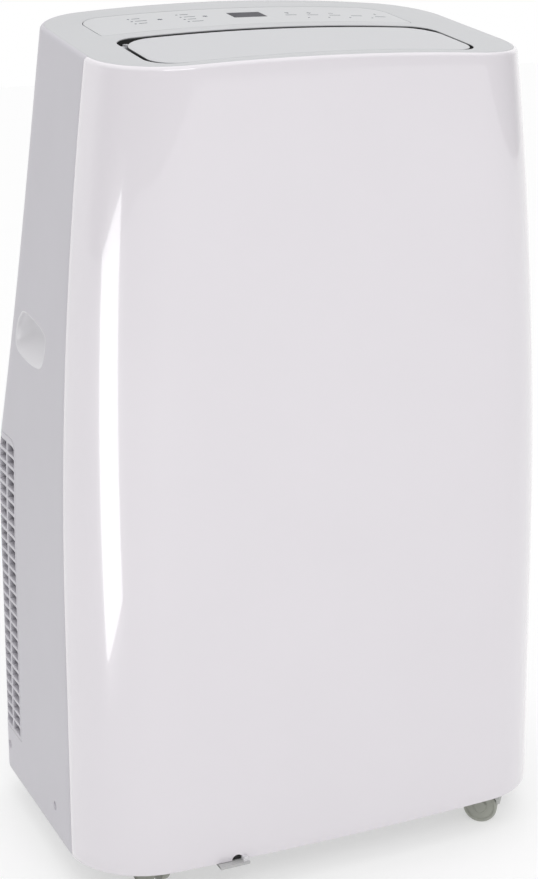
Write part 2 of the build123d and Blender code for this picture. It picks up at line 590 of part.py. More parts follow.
SLING_X, SLING_Z = 130.0, 76.0
slinger = rod((SLING_X, 66, SLING_Z), "y", 2, 30)
for i in range(12):
    slinger += Pos(SLING_X, 70, SLING_Z) * Rot(0, 30 * i, 0) * Pos(24, 0, 0) * Box(10, 6, 1.6)
slinger += rod((SLING_X, 60, SLING_Z), "y", 8, 6)
nodes["slinger_wheel"] = slinger - rod((SLING_X, 59, SLING_Z), "y", 8, 2.5)
sling_motor = rod((SLING_X, 22, SLING_Z), "y", 32, 18) + rod((SLING_X, 54, SLING_Z), "y", 12, 2.5)
sling_motor += block(SLING_X - 12, SLING_X + 12, 26, 50, PAN_Z + PAN_T, SLING_Z)
nodes["slinger_motor"] = sling_motor

# ---------------------------------------------------------------- electrics
box = block(120, 178, -108, -32, 352, 540) - block(122, 180, -106, -34, 354, 538)
nodes["control_box"] = box
board = block(124, 125.6, -104, -36, 360, 530)
board += block(125.6, 145, -90, -66, 450, 480) + block(125.6, 139, -60, -40, 490, 520)
for z in (366.0, 524.0):
    board += rod((122, -100, z), "x", 2.4, 2.5) + rod((122, -40, z), "x", 2.4, 2.5)
nodes["main_board"] = board
nodes["run_capacitor"] = fillet(rod((150, -68, 354), "z", 76, 19).edges(), 2)

# ---------------------------------------------------------------- write the parts
os.makedirs("parts", exist_ok=True)
for name, solid in nodes.items():
    export_step(Pos(0, 0, -FLOOR_Z) * solid, f"parts/{name}.step")
print(len(nodes), "nodes written")
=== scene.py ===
# %% [markdown]
# # A portable air conditioner, made in Blender around its CAD frame
# The frame holds every working part of the unit in its true place: casing, blowers, coils, flap, vanes
# and casters. This lesson adds what a mould maker and a finisher would add: smooth curved skins, rounded
# edges, grilles with real bars, seams, icons and plastics with a grain. The pieces share the frame's origin
# and repeat its measures, so each one goes where its CAD part is.

# %% Load the frame
import json
from math import asin, atan2, cos, pi, radians, sin, sqrt

import bmesh
import bpy
from mathutils import Matrix, Vector


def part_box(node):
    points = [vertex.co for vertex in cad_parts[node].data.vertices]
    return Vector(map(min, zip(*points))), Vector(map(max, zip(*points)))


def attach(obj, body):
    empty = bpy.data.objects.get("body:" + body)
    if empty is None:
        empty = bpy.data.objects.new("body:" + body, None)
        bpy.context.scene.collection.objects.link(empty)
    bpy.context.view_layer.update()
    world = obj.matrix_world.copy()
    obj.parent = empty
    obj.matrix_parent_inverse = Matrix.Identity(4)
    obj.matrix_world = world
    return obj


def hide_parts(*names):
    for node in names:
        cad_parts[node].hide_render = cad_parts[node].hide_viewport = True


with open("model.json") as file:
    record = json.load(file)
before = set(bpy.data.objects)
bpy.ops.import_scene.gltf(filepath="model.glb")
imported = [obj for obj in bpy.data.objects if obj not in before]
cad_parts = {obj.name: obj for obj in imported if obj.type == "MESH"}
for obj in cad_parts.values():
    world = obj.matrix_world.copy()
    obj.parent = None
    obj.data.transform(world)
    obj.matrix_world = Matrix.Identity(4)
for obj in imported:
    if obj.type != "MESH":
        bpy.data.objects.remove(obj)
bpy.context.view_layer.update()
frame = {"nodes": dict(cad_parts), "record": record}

MM = 0.001

# %% [markdown]
# ## Reading the body's size
# The casing is a rounded box in plan that leans in towards the top and has a waist at the back. A few
# numbers describe it, in metres. The height of the skirt is read from the frame. The rest repeat the
# measures of the CAD model, because a box does not give radii and bows.

# %% Body measures
HALF = 215.0 * MM
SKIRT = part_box("front_panel")[0].z
FRONT = -154.0 * MM
FRONT_LEAN = 2.4 * MM
REAR = 141.0 * MM
NECK_DEPTH, NECK_POWER = 67.5 * MM, 2.2
SHOULDER = SKIRT + 207.1 * MM
KINK = SKIRT + 300.1 * MM
LEAN_TOP = SKIRT + 662.6 * MM
SIDE_LEAN = 28.9 * MM
FRONT_R, REAR_R = 69.4 * MM, 45.8 * MM
FRONT_BOW, REAR_BOW = 2.6, 2.4
TOP_FRONT = SKIRT + 660.1 * MM
TOP_SLOPE, CROWN_R = 0.125, 1.93
SEAM = -86.0 * MM
WALL = 2.5 * MM

# %% [markdown]
# ## A plan outline at any height
# Real moulds are drawn as a plan outline that changes with height. The outline here has a bowed front
# and back, flat sides and four corner arcs that meet them without a crease. `plan_at` works out the arc
# centres; `front_plan` and `rear_plan` walk along the outline.

# %% Outline functions
def half_width(z):
    lean = max(0.0, (z - SHOULDER) / (LEAN_TOP - SHOULDER))
    return HALF - SIDE_LEAN * lean ** 2


def rear_at(z):
    rise = min(1.0, max(0.0, (z - KINK) / (LEAN_TOP - KINK)))
    return REAR - NECK_DEPTH * (1 - (1 - rise) ** NECK_POWER)


def arc_centre(half, face, radius, bow, side):
    """Centre of a corner arc and the angle at which it meets the bowed face (right-hand side)."""
    bow_y = face - side * bow
    cy = bow_y + side * sqrt((bow - radius) ** 2 - (half - radius) ** 2)
    cx = half - radius
    return cx, cy, atan2(cy - bow_y, cx)


def plan_at(z, inset=0.0):
    half = half_width(z) - inset
    front = FRONT - FRONT_LEAN * (z - SKIRT) / (TOP_FRONT - SKIRT) + inset
    rear = rear_at(z) - inset
    fr, rr = FRONT_R - inset, REAR_R - inset
    fx, fy, fa = arc_centre(half, front, fr, FRONT_BOW - inset, -1)
    rx, ry, ra = arc_centre(half, rear, rr, REAR_BOW - inset, 1)
    return half, front, rear, fr, rr, (fx, fy, fa), (rx, ry, ra)


def top_at(x, y):
    """Height of the crowned, sloping top surface."""
    return TOP_FRONT + TOP_SLOPE * (y - FRONT) - x * x / (2 * CROWN_R)


def front_plan(u, z, inset):
    """u runs 0..1 along the left corner, 1..2 along the bowed front, 2..3 along the right corner."""
    half, front, rear, fr, rr, (fx, fy, fa), _ = plan_at(z, inset)
    if u > 2:
        x, y = front_plan(3 - u, z, inset)
        return -x, y
    if u <= 1:
        start = pi + asin(max(-1.0, min(1.0, (fy - SEAM + 0.2 * MM) / fr)))
        angle = start + (pi - fa - start) * u
        return -fx + fr * cos(angle), fy + fr * sin(angle)
    bow = FRONT_BOW - inset
    swing = asin(fx / (bow - fr)) * (2 * (u - 1) - 1)
    return bow * sin(swing), front + bow - bow * cos(swing)


def rear_plan(u, z, inset):
    """u runs 0..1 left side, 1..2 left rear corner, 2..3 back, 3..4 right rear corner, 4..5 right side."""
    half, front, rear, fr, rr, (fx, fy, fa), (rx, ry, ra) = plan_at(z, inset)
    if u > 2.5:
        x, y = rear_plan(5 - u, z, inset)
        return -x, y
    if u <= 1:
        start = SEAM + 0.4 * MM
        y = start + (ry - start) * u
        x = -half if y >= fy else -fx - sqrt(fr ** 2 - (y - fy) ** 2)
        return x, y
    if u <= 2:
        angle = pi - ra * (u - 1)
        return -rx + rr * cos(angle), ry + rr * sin(angle)
    bow = REAR_BOW - inset
    swing = asin(rx / (bow - rr)) * (1 - 2 * (u - 2))
    return -bow * sin(swing), rear - bow + bow * cos(swing)


TRIM_FROM = SKIRT + 560 * MM
NOMINAL_TOP = SKIRT + 690 * MM
LIFT = SKIRT - 24.4 * MM
CASING_INSET = 0.12 * MM
RIM = 3.2 * MM
RIM_SPAN = 6 * MM


def skin_point(plan, u, h, inset=0.0):
    """A point on the outer skin; above TRIM_FROM it follows the top surface, then rolls over the rim."""
    if h <= TRIM_FROM:
        x, y = plan(u, h, inset)
        return Vector((x, y, h))
    turn = max(0.0, h - NOMINAL_TOP) / RIM_SPAN * pi / 2
    inset += RIM * (1 - cos(turn))
    z = TOP_FRONT
    for _ in range(4):
        x, y = plan(u, z, inset)
        z = top_at(x, y) - RIM * (1 - sin(turn))
    part = min(1.0, (h - TRIM_FROM) / (NOMINAL_TOP - TRIM_FROM))
    z = TRIM_FROM + (z - TRIM_FROM) * part
    x, y = plan(u, z, inset)
    return Vector((x, y, z))


for label, where in (("front middle", skin_point(front_plan, 1.5, SKIRT)),
                     ("left seam", skin_point(rear_plan, 0, NOMINAL_TOP)),
                     ("back middle", skin_point(rear_plan, 2.5, NOMINAL_TOP))):
    print(label, [round(c * 1000, 1) for c in where])

# %% [markdown]
# ## Camera, floor and light
# The camera stands to the left of the unit and a little above it, with a long lens, as in a catalogue
# picture. The light is soft and almost all round: a pale world, one large key, and one tall strip whose
# reflection draws the upright highlight on the glossy corner.

# %% Camera
LENS = 77.8
CAMERA_AT = Vector((-0.6482, -1.4736, 0.8232))
YAW, PITCH = radians(24.98), radians(12.755)
camera = bpy.data.objects.new("camera", bpy.data.cameras.new("camera"))
bpy.context.scene.collection.objects.link(camera)
camera.data.sensor_width = 36.0
camera.data.lens = LENS
camera.data.shift_x = -0.0396
camera.data.shift_y = -0.1491
camera.location = CAMERA_AT
camera.rotation_euler = (pi / 2 - PITCH, 0.0, -YAW)
bpy.context.scene.camera = camera
print("camera", [round(c, 3) for c in camera.location])

# %% Floor
bm = bmesh.new()
bmesh.ops.create_grid(bm, x_segments=2, y_segments=2, size=6.0)
floor_mesh = bpy.data.meshes.new("floor")
bm.to_mesh(floor_mesh)
bm.free()
floor = bpy.data.objects.new("floor", floor_mesh)
bpy.context.scene.collection.objects.link(floor)


# %% Lights
def soft_light(name, location, target, size, power):
    data = bpy.data.lights.new(name, "AREA")
    data.shape = "RECTANGLE"
    data.size, data.size_y = size
    data.energy = power
    data.spread = pi
    light = bpy.data.objects.new(name, data)
    light.location = location
    light.rotation_euler = (Vector(target) - Vector(location)).to_track_quat("-Z", "Y").to_euler()
    bpy.context.scene.collection.objects.link(light)
    return light


world = bpy.data.worlds.new("studio")
world.use_nodes = True
sky, sky_links = world.node_tree.nodes, world.node_tree.links
direction = sky.new("ShaderNodeTexCoord")
split = sky.new("ShaderNodeSeparateXYZ")
sky_links.new(direction.outputs["Generated"], split.inputs["Vector"])
backdrop = sky.new("ShaderNodeMapRange")
backdrop.interpolation_type = "SMOOTHSTEP"
backdrop.inputs["From Min"].default_value = 0.1
backdrop.inputs["From Max"].default_value = 0.6
backdrop.inputs["To Min"].default_value = 0.28
backdrop.inputs["To Max"].default_value = 1.0
sky_links.new(split.outputs["Y"], backdrop.inputs["Value"])
overhead = sky.new("ShaderNodeMapRange")
overhead.interpolation_type = "SMOOTHSTEP"
overhead.inputs["From Min"].default_value = 0.25
overhead.inputs["From Max"].default_value = 0.8
overhead.inputs["To Max"].default_value = 1.25
sky_links.new(split.outputs["Z"], overhead.inputs["Value"])
brightest = sky.new("ShaderNodeMath")
brightest.operation = "MAXIMUM"
sky_links.new(backdrop.outputs["Result"], brightest.inputs[0])
sky_links.new(overhead.outputs["Result"], brightest.inputs[1])
sky["Background"].inputs["Color"].default_value = (1.0, 1.0, 1.0, 1.0)
sky_links.new(brightest.outputs["Value"], sky["Background"].inputs["Strength"])
bpy.context.scene.world = world
bpy.context.scene.view_settings.view_transform = "Standard"
KEY_POWER, STRIP_POWER = 9.5, 1.7
key = soft_light("front_key", (-0.3, -1.75, 1.6), (0, 0, 0.45), (1.2, 0.8), KEY_POWER)
strip_foot, strip_head = Vector((-0.615, -0.392, 0.028)), Vector((-0.70, -0.238, 0.535))
strip = soft_light("corner_strip", (strip_foot + strip_head) / 2, (-0.19, -0.13, 0.30), (0.24, 0.53),
                   STRIP_POWER)
strip_up = (strip_head - strip_foot).normalized()
strip_out = Vector((-0.88, -0.48, 0))
strip_out = (strip_out - strip_up * strip_out.dot(strip_up)).normalized()
strip_side = strip_up.cross(strip_out)
strip.rotation_euler = Matrix((strip_side, strip_up, strip_out)).transposed().to_euler()
strip.visible_diffuse = False
for light in (key, strip):
    light.visible_camera = False

# %% [markdown]
# ## Small tools for making pieces
# Each skin starts as a plain grid made by Blender, whose points are then laid on the outline. `finish_piece`
# puts a mesh into the scene, shades it smooth with crisp edges where it turns sharply, and ties it to the
# CAD body that carries it. `settle` applies the modifiers at once, so that later cuts work on the result.

# %% Mesh helpers
def spread(*stops):
    """Evenly spaced values through pairs of (end, steps) after a start value."""
    values = [stops[0]]
    for end, steps in stops[1:]:
        start = values[-1]
        values += [start + (end - start) * (i + 1) / steps for i in range(steps)]
    return values


def laid_grid(columns, rows, place):
    """A create_grid sheet whose points are laid at place(column value, row value)."""
    bm = bmesh.new()
    bmesh.ops.create_grid(bm, x_segments=len(columns) - 1, y_segments=len(rows) - 1, size=0.5)
    for v in bm.verts:
        i = round((v.co.x + 0.5) * (len(columns) - 1))
        j = round((v.co.y + 0.5) * (len(rows) - 1))
        v.co = place(columns[i], rows[j])
    return bm


def face_away(bm, inside):
    """Turn an open sheet so that its faces point away from an inside point."""
    bm.normal_update()
    votes = sum((f.calc_center_median() - inside).dot(f.normal) > 0 for f in bm.faces)
    if votes < len(bm.faces) / 2:
        bmesh.ops.reverse_faces(bm, faces=bm.faces)
    bm.normal_update()


def rod_mesh(bm, start, end, radius, segments=32, radius_end=None):
    """Add a closed cylinder or cone between two points."""
    start, end = Vector(start), Vector(end)
    axis = end - start
    turn = axis.to_track_quat("Z", "Y").to_matrix().to_4x4()
    place = Matrix.Translation((start + end) / 2) @ turn
    bmesh.ops.create_cone(bm, cap_ends=True, segments=segments, radius1=radius,
                          radius2=radius if radius_end is None else radius_end, depth=axis.length, matrix=place)


def box_mesh(bm, low, high):
    low, high = Vector(low), Vector(high)
    size = high - low
    place = Matrix.Translation((low + high) / 2) @ Matrix.Diagonal((size.x, size.y, size.z, 1))
    bmesh.ops.create_cube(bm, size=1.0, matrix=place)


def lathe(profile, centre, axis, segments=64):
    """Spin a closed profile of (radius, distance along axis) points round an axis through centre."""
    bm = bmesh.new()
    axis = Vector(axis).normalized()
    out = axis.orthogonal().normalized()
    verts = [bm.verts.new(Vector(centre) + out * r + axis * h) for r, h in profile]
    edges = [bm.edges.new((a, b)) for a, b in zip(verts, verts[1:] + verts[:1])]
    bmesh.ops.spin(bm, geom=verts + edges, cent=centre, axis=axis, angle=2 * pi, steps=segments, use_merge=True)
    bmesh.ops.remove_doubles(bm, verts=bm.verts, dist=1e-6)
    bmesh.ops.recalc_face_normals(bm, faces=bm.faces)
    return bm


def next_ring(bm, verts, edges, places):
    """Extrude a ring of edges once and put the new points at the given places."""
    out = bmesh.ops.extrude_edge_only(bm, edges=edges)["geom"]
    fresh = {tuple(round(c, 7) for c in v.co): v for v in out if isinstance(v, bmesh.types.BMVert)}
    lifted = [fresh[tuple(round(c, 7) for c in v.co)] for v in verts]
    for v, c in zip(lifted, places):
        v.co = c
    return lifted, [bm.edges.get((a, b)) for a, b in zip(lifted, lifted[1:] + lifted[:1])]


def join_mesh(target, source):
    """Add one bmesh to another and free it."""
    part = bpy.data.meshes.new("part")
    source.to_mesh(part)
    source.free()
    target.from_mesh(part)
    bpy.data.meshes.remove(part)


def raw_object(name, bm):
    mesh = bpy.data.meshes.new(name)
    bm.to_mesh(mesh)
    bm.free()
    obj = bpy.data.objects.new(name, mesh)
    bpy.context.scene.collection.objects.link(obj)
    return obj


def settle(obj):
    """Apply the object's modifiers to its mesh."""
    deps = bpy.context.evaluated_depsgraph_get()
    deps.update()
    mesh = bpy.data.meshes.new_from_object(obj.evaluated_get(deps))
    obj.modifiers.clear()
    obj.data = mesh
    return obj


def thicken(obj, thickness):
    solid = obj.modifiers.new("wall", "SOLIDIFY")
    solid.thickness = thickness
    solid.offset = -1.0
    solid.use_even_offset = True
    return settle(obj)


def cut(obj, cutter_bm):
    cutter = raw_object("cutter", cutter_bm)
    boolean = obj.modifiers.new("cut", "BOOLEAN")
    boolean.operation = "DIFFERENCE"
    boolean.solver = "EXACT"
    boolean.object = cutter
    settle(obj)
    bpy.data.objects.remove(cutter)
    return obj


def round_edges(obj, width, angle=35.0, segments=3):
    bevel = obj.modifiers.new("edge", "BEVEL")
    bevel.width = width
    bevel.segments = segments
    bevel.limit_method = "ANGLE"
    bevel.angle_limit = radians(angle)
    return settle(obj)


def finish_piece(obj, material, body, node=None, crisp=32.0):
    obj.data.materials.clear()
    obj.data.materials.append(material)
    obj.data.shade_smooth()
    obj.data.set_sharp_from_angle(angle=radians(crisp))
    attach(obj, body)
    if node:
        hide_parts(*([node] if isinstance(node, str) else node))
    print(obj.name, len(obj.data.polygons), "faces")
    return obj


# %% [markdown]
# ## Plastics
# Moulded plastic is never one flat colour. Under a lens it has a faint cloudiness from the pigment, a fine
# spark-eroded grain or, on the glossy panel, a very shallow orange-peel ripple. `moulded` mixes two close
# tones with a large noise, varies the roughness with a finer one, and bumps the surface with a grain whose
# size is stated in metres.

# %% Moulded plastic
def moulded(name, color, tone=0.03, rough=0.4, rough_vary=0.05, grain=0.0006, depth=0.00002, coat=0.0,
            metallic=0.0):
    material = bpy.data.materials.new(name)
    material.use_nodes = True
    nodes, links = material.node_tree.nodes, material.node_tree.links
    shader = nodes["Principled BSDF"]
    place = nodes.new("ShaderNodeTexCoord")
    cloud = nodes.new("ShaderNodeTexNoise")
    cloud.inputs["Scale"].default_value = 9.0
    cloud.inputs["Detail"].default_value = 4.0
    links.new(place.outputs["Object"], cloud.inputs["Vector"])
    ramp = nodes.new("ShaderNodeValToRGB")
    ramp.color_ramp.elements[0].position = 0.35
    ramp.color_ramp.elements[1].position = 0.65
    ramp.color_ramp.elements[0].color = [c * (1 - tone) for c in color] + [1.0]
    ramp.color_ramp.elements[1].color = [min(1.0, c * (1 + tone)) for c in color] + [1.0]
    links.new(cloud.outputs["Fac"], ramp.inputs["Fac"])
    links.new(ramp.outputs["Color"], shader.inputs["Base Color"])
    fine = nodes.new("ShaderNodeTexNoise")
    fine.inputs["Scale"].default_value = 1.0 / grain
    fine.inputs["Detail"].default_value = 2.0
    links.new(place.outputs["Object"], fine.inputs["Vector"])
    spread_rough = nodes.new("ShaderNodeMapRange")
    spread_rough.inputs["To Min"].default_value = rough - rough_vary
    spread_rough.inputs["To Max"].default_value = rough + rough_vary
    links.new(fine.outputs["Fac"], spread_rough.inputs["Value"])
    links.new(spread_rough.outputs["Result"], shader.inputs["Roughness"])
    bump = nodes.new("ShaderNodeBump")
    bump.inputs["Strength"].default_value = 1.0
    bump.inputs["Distance"].default_value = depth
    links.new(fine.outputs["Fac"], bump.inputs["Height"])
    links.new(bump.outputs["Normal"], shader.inputs["Normal"])
    shader.inputs["Metallic"].default_value = metallic
    shader.inputs["Coat Weight"].default_value = coat
    shader.inputs["Coat Roughness"].default_value = 0.03
    shader.inputs["IOR"].default_value = 1.5
    return material


gloss_white = moulded("gloss_white_panel", (0.785, 0.753, 0.792), tone=0.006, rough=0.22, rough_vary=0.02,
                      grain=0.012, depth=0.00001, coat=1.0)
satin_white = moulded("satin_white_casing", (0.555, 0.54, 0.58), tone=0.012, rough=0.38, grain=0.0009, depth=0.000015)
top_grey = moulded("satin_grey_top", (0.51, 0.515, 0.53), tone=0.012, rough=0.36, grain=0.0008, depth=0.000012)
flap_grey = moulded("satin_grey_flap", (0.53, 0.532, 0.552), tone=0.01, rough=0.33, grain=0.0008, depth=0.00001)
overlay_grey = moulded("printed_overlay", (0.54, 0.545, 0.56),
                       tone=0.008, rough=0.33, rough_vary=0.015, grain=0.003, depth=0.000003)
lens_dark = moulded("smoked_lens", (0.03, 0.03, 0.042), tone=0.1, rough=0.4, grain=0.002, depth=0.000002)
lens_dark.node_tree.nodes["Principled BSDF"].inputs["Specular IOR Level"].default_value = 0.12
ink_grey = moulded("printed_ink", (0.10, 0.11, 0.14), tone=0.1, rough=0.6, grain=0.0006, depth=0.000002)
ink_grey.node_tree.nodes["Principled BSDF"].inputs["Specular IOR Level"].default_value = 0.1
pan_grey = moulded("base_pan_grey", (0.50, 0.50, 0.50), tone=0.04, rough=0.5, grain=0.001, depth=0.00003)
inner_grey = moulded("inner_grey", (0.28, 0.29, 0.30), tone=0.06, rough=0.5, grain=0.001, depth=0.00003)
duct_dark = moulded("duct_dark", (0.07, 0.073, 0.08), tone=0.08, rough=0.5, grain=0.001, depth=0.00002)
fan_black = moulded("fan_black", (0.03, 0.032, 0.035), tone=0.1, rough=0.42, grain=0.001, depth=0.00002)
vane_grey = moulded("vane_grey", (0.55, 0.555, 0.565), tone=0.02, rough=0.4, grain=0.0008, depth=0.00001)
caster_grey = moulded("caster_hood_grey", (0.50, 0.51, 0.49), tone=0.03, rough=0.35, grain=0.0007, depth=0.00001)
wheel_grey = moulded("caster_wheel_polymer", (0.36, 0.37, 0.325), tone=0.04, rough=0.3, grain=0.0008, depth=0.00001)
rubber_grey = moulded("plug_rubber", (0.26, 0.26, 0.27), tone=0.05, rough=0.7, grain=0.0006, depth=0.00003)
# Black rubber for the gland and rubber mounts; the same black also paints shade on the outlet liner, its ledge and
# the box behind the front notch.
rubber_black = moulded("mount_rubber_and_painted_shade", (0.02, 0.02, 0.02), tone=0.15, rough=0.75, grain=0.0008, depth=0.00004)
black_enamel = moulded("black_enamel", (0.018, 0.018, 0.02),
                       tone=0.15, rough=0.3, grain=0.003, depth=0.00002, coat=0.5)
motor_paint = moulded("motor_paint", (0.05, 0.05, 0.055),
                      tone=0.1, rough=0.4, grain=0.002, depth=0.00002, metallic=0.3)
zinc = moulded("zinc_plate", (0.55, 0.55, 0.56), tone=0.05, rough=0.32, grain=0.0015, depth=0.000008, metallic=1.0)
copper = moulded("drawn_copper", (0.72, 0.36, 0.22), tone=0.08, rough=0.3, grain=0.004, depth=0.000008, metallic=1.0)
board_green = moulded("circuit_laminate", (0.02, 0.11, 0.045), tone=0.12, rough=0.4, grain=0.0012, depth=0.00001)
fitting_grey = moulded("fitting_grey", (0.42, 0.42, 0.43), tone=0.03, rough=0.42, grain=0.0008, depth=0.00001)
# Scoop plastic: the casing white made lighter, a painted highlight for the lit facets of the carrying scoops; the
# front catch knob shares it.
scoop_white_painted_highlight = moulded("scoop_white_painted_highlight", (0.70, 0.69, 0.715), tone=0.01, rough=0.34, grain=0.0009, depth=0.00001)
mesh_black = moulded("filter_mesh_black", (0.012, 0.012, 0.012), tone=0.2, rough=0.7, grain=0.0012, depth=0.00003)
floor_white = moulded("lit_table", (0.5, 0.5, 0.5), tone=0.004, rough=0.6, grain=0.02, depth=0.00001)
table = floor_white.node_tree.nodes["Principled BSDF"]
table.inputs["Emission Color"].default_value = (1.0, 1.0, 1.0, 1.0)
table.inputs["Emission Strength"].default_value = 0.48
table.inputs["Specular IOR Level"].default_value = 0.0
floor.data.materials.append(floor_white)
print("materials", len(bpy.data.materials))

# %% [markdown]
# ## The glossy front panel
# One moulding wraps the whole front, from seam to seam. It is laid as a fine grid along both corner arcs
# and the bowed front, given its wall, and its rim is rounded so that it catches a thin line of light. A
# small half-round notch at the lower edge clears the catch of the base pan.

# %% Front panel
front_columns = spread(0.0, (1.0, 26), (2.0, 30), (3.0, 26))
height_rows = spread(SKIRT, (SHOULDER, 16), (KINK, 10), (TRIM_FROM, 26), (NOMINAL_TOP, 14),
                     (NOMINAL_TOP + RIM_SPAN, 7))
bm = laid_grid(front_columns, height_rows, lambda u, h: skin_point(front_plan, u, h))
face_away(bm, Vector((0, 0, 0.35)))
panel = round_edges(thicken(raw_object("front_panel_shell", bm), WALL), 1.0 * MM, angle=50)
NOTCH_X, NOTCH_R = -93.0 * MM, 5.0 * MM
bm = bmesh.new()
rod_mesh(bm, (NOTCH_X, FRONT - 0.02, SKIRT), (NOTCH_X, FRONT + 0.03, SKIRT), NOTCH_R)
cut(panel, bm)
finish_piece(panel, gloss_white, "casing", "front_panel", crisp=40)

# %% [markdown]
# ## Outlines that several pieces share
# The side grille has a front edge that leans forward and a rounded upper corner, and wraps the rear corner
# of the casing. The carrying scoop has the outline of a leaf. Each outline is written once and used twice:
# to cut the casing and to shape the piece that fills the cut.

# %% Grille and scoop outlines
GRILLE_LOW, GRILLE_HIGH = LIFT + 66 * MM, LIFT + 345 * MM
GRILLE_END_X = 100 * MM
GRILLE_CORNER = 13 * MM


def grille_front(z):
    return 52.5 * MM - 6.0 * MM * (z - GRILLE_LOW) / (GRILLE_HIGH - GRILLE_LOW)


def round_corner(side, down, size):
    """Moves a point near a square corner so that the corner becomes a quarter circle."""
    if side >= size or down >= size:
        return side, down
    a, b = 1 - side / size, 1 - down / size
    return size * (1 - a * sqrt(1 - b * b / 2)), size * (1 - b * sqrt(1 - a * a / 2))


def grille_length(z):
    _, _, _, _, _, _, (rx, ry, ra) = plan_at(z)
    along_back = REAR_BOW * (asin(rx / (REAR_BOW - REAR_R)) - asin(GRILLE_END_X / REAR_BOW))
    return ry - grille_front(z) + REAR_R * ra + along_back


def grille_point(s, z, inset):
    """A point s metres round from the front edge of the left grille."""
    s, down = round_corner(s, GRILLE_HIGH - z, GRILLE_CORNER)
    z = GRILLE_HIGH - down
    half, _, rear, _, rr, _, (rx, ry, ra) = plan_at(z, inset)
    beyond = s - (ry - grille_front(z))
    if beyond <= 0:
        return Vector((-half, grille_front(z) + s, z))
    if beyond <= REAR_R * ra:
        angle = pi - beyond / REAR_R
        return Vector((-rx + rr * cos(angle), ry + rr * sin(angle), z))
    bow = REAR_BOW - inset
    swing = asin(rx / (bow - rr)) - (beyond - REAR_R * ra) / bow
    return Vector((-bow * sin(swing), rear - bow + bow * cos(swing), z))


LEAF = [(31, 462.5), (42.5, 451), (46.5, 437), (42, 429.5), (29, 426), (8, 424.2), (-11, 424.6),
        (-23.5, 427.4), (-31, 436.5), (-34.6, 449), (-32.6, 455.8), (-20, 460), (0, 463), (18, 464.5)]


def smooth_loop(points, steps):
    """A closed loop rounded through its points (Catmull-Rom)."""
    loop = []
    count = len(points)
    for i in range(count):
        p = [Vector(points[(i + k - 1) % count]) for k in range(4)]
        for step in range(steps):
            t = step / steps
            loop.append(0.5 * (2 * p[1] + (p[2] - p[0]) * t + (2 * p[0] - 5 * p[1] + 4 * p[2] - p[3]) * t ** 2
                               + (3 * p[1] - p[0] - 3 * p[2] + p[3]) * t ** 3))
    return loop


leaf_loop = [Vector((y * MM, LIFT + z * MM)) for y, z in smooth_loop(LEAF, 5)]
print("grille runs", round(grille_length(0.2) * 1000), "mm; leaf points", len(leaf_loop))


# %% [markdown]
# ## The rear casing
# The casing is the same kind of grid. Its front edge is rounded, as the edge of a moulding is at a seam. The
# crease of the waist has its own row of points. All openings are cut by one boolean whose cutter holds every
# prism: grilles, rear window, scoops, exhaust port, spouts, gland and screw holes.

# %% Rear casing
def prism(bm, loop, low_x, high_x):
    """Extrude a closed (y, z) loop between two x planes."""
    verts = [bm.verts.new((low_x, p[0], p[1])) for p in loop]
    face = bm.faces.new(verts)
    extruded = bmesh.ops.extrude_face_region(bm, geom=[face])["geom"]
    moved = [g for g in extruded if isinstance(g, bmesh.types.BMVert)]
    bmesh.ops.translate(bm, verts=moved, vec=(high_x - low_x, 0, 0))


REAR_WINDOW = (130 * MM, LIFT + 352 * MM, LIFT + 648 * MM)
PORT_Z, PORT_R = LIFT + 236 * MM, 70 * MM
SPOUTS = {"upper": (88 * MM, LIFT + 316 * MM), "lower": (-30 * MM, LIFT + 54 * MM)}
GLAND = (-80 * MM, LIFT + 108 * MM)
SCREWS = [(-43.5 * MM, LIFT + 48.8 * MM), (89.5 * MM, LIFT + 47.8 * MM)]
GAP = 0.4 * MM
rear_columns = spread(0.0, (1.0, 26), (2.0, 20), (3.0, 30), (4.0, 20), (5.0, 26))
bm = laid_grid(rear_columns, height_rows, lambda u, h: skin_point(rear_plan, u, h, CASING_INSET))
face_away(bm, Vector((0, 0, 0.35)))
casing = round_edges(thicken(raw_object("rear_casing_shell", bm), WALL), 1.2 * MM, angle=50)

edge = [round_corner(0.0, GRILLE_CORNER * k / 10, GRILLE_CORNER) for k in range(10, -1, -1)]
edge += [round_corner(GRILLE_CORNER * k / 10, 0.0, GRILLE_CORNER) for k in range(1, 11)]
zone = [(grille_front(GRILLE_LOW) - GAP, GRILLE_LOW - GAP)]
zone += [(grille_front(GRILLE_HIGH - down) + side - GAP, GRILLE_HIGH - down + GAP) for side, down in edge]
zone += [(0.3, GRILLE_HIGH + GAP), (0.3, GRILLE_LOW - GAP)]
cutter = bmesh.new()
prism(cutter, zone, -0.3, -GRILLE_END_X + GAP)
prism(cutter, leaf_loop, -0.3, -0.15)
for y, z in SCREWS:
    rod_mesh(cutter, (-0.3, y, z), (-0.19, y, z), 4.2 * MM)
bmesh.ops.mirror(cutter, geom=cutter.verts[:] + cutter.edges[:] + cutter.faces[:], axis="X", merge_dist=1e-7)
half_window, window_low, window_high = REAR_WINDOW
box_mesh(cutter, (-half_window - GAP, 0.02, window_low - GAP), (half_window + GAP, 0.3, window_high + GAP))
rod_mesh(cutter, (0, 0.1, PORT_Z), (0, 0.2, PORT_Z), PORT_R + 7 * MM, segments=96)
for x, z in SPOUTS.values():
    rod_mesh(cutter, (x, 0.1, z), (x, 0.2, z), 8 * MM)
rod_mesh(cutter, (GLAND[0], 0.1, GLAND[1]), (GLAND[0], 0.2, GLAND[1]), 9 * MM)
bmesh.ops.recalc_face_normals(cutter, faces=cutter.faces)
cut(casing, cutter)
finish_piece(casing, satin_white, "casing", "rear_casing", crisp=25)

# %% [markdown]
# ## The side grilles
# A real grille of this kind is a moulded ladder: thin bars, deeper than they are high, with a few ribs.
# Deep bars hide the inside from above yet let the air through. A grid is laid round the corner with its
# lines at the edges of the slots, the slot faces are deleted, and the rest is thickened inwards and rounded.

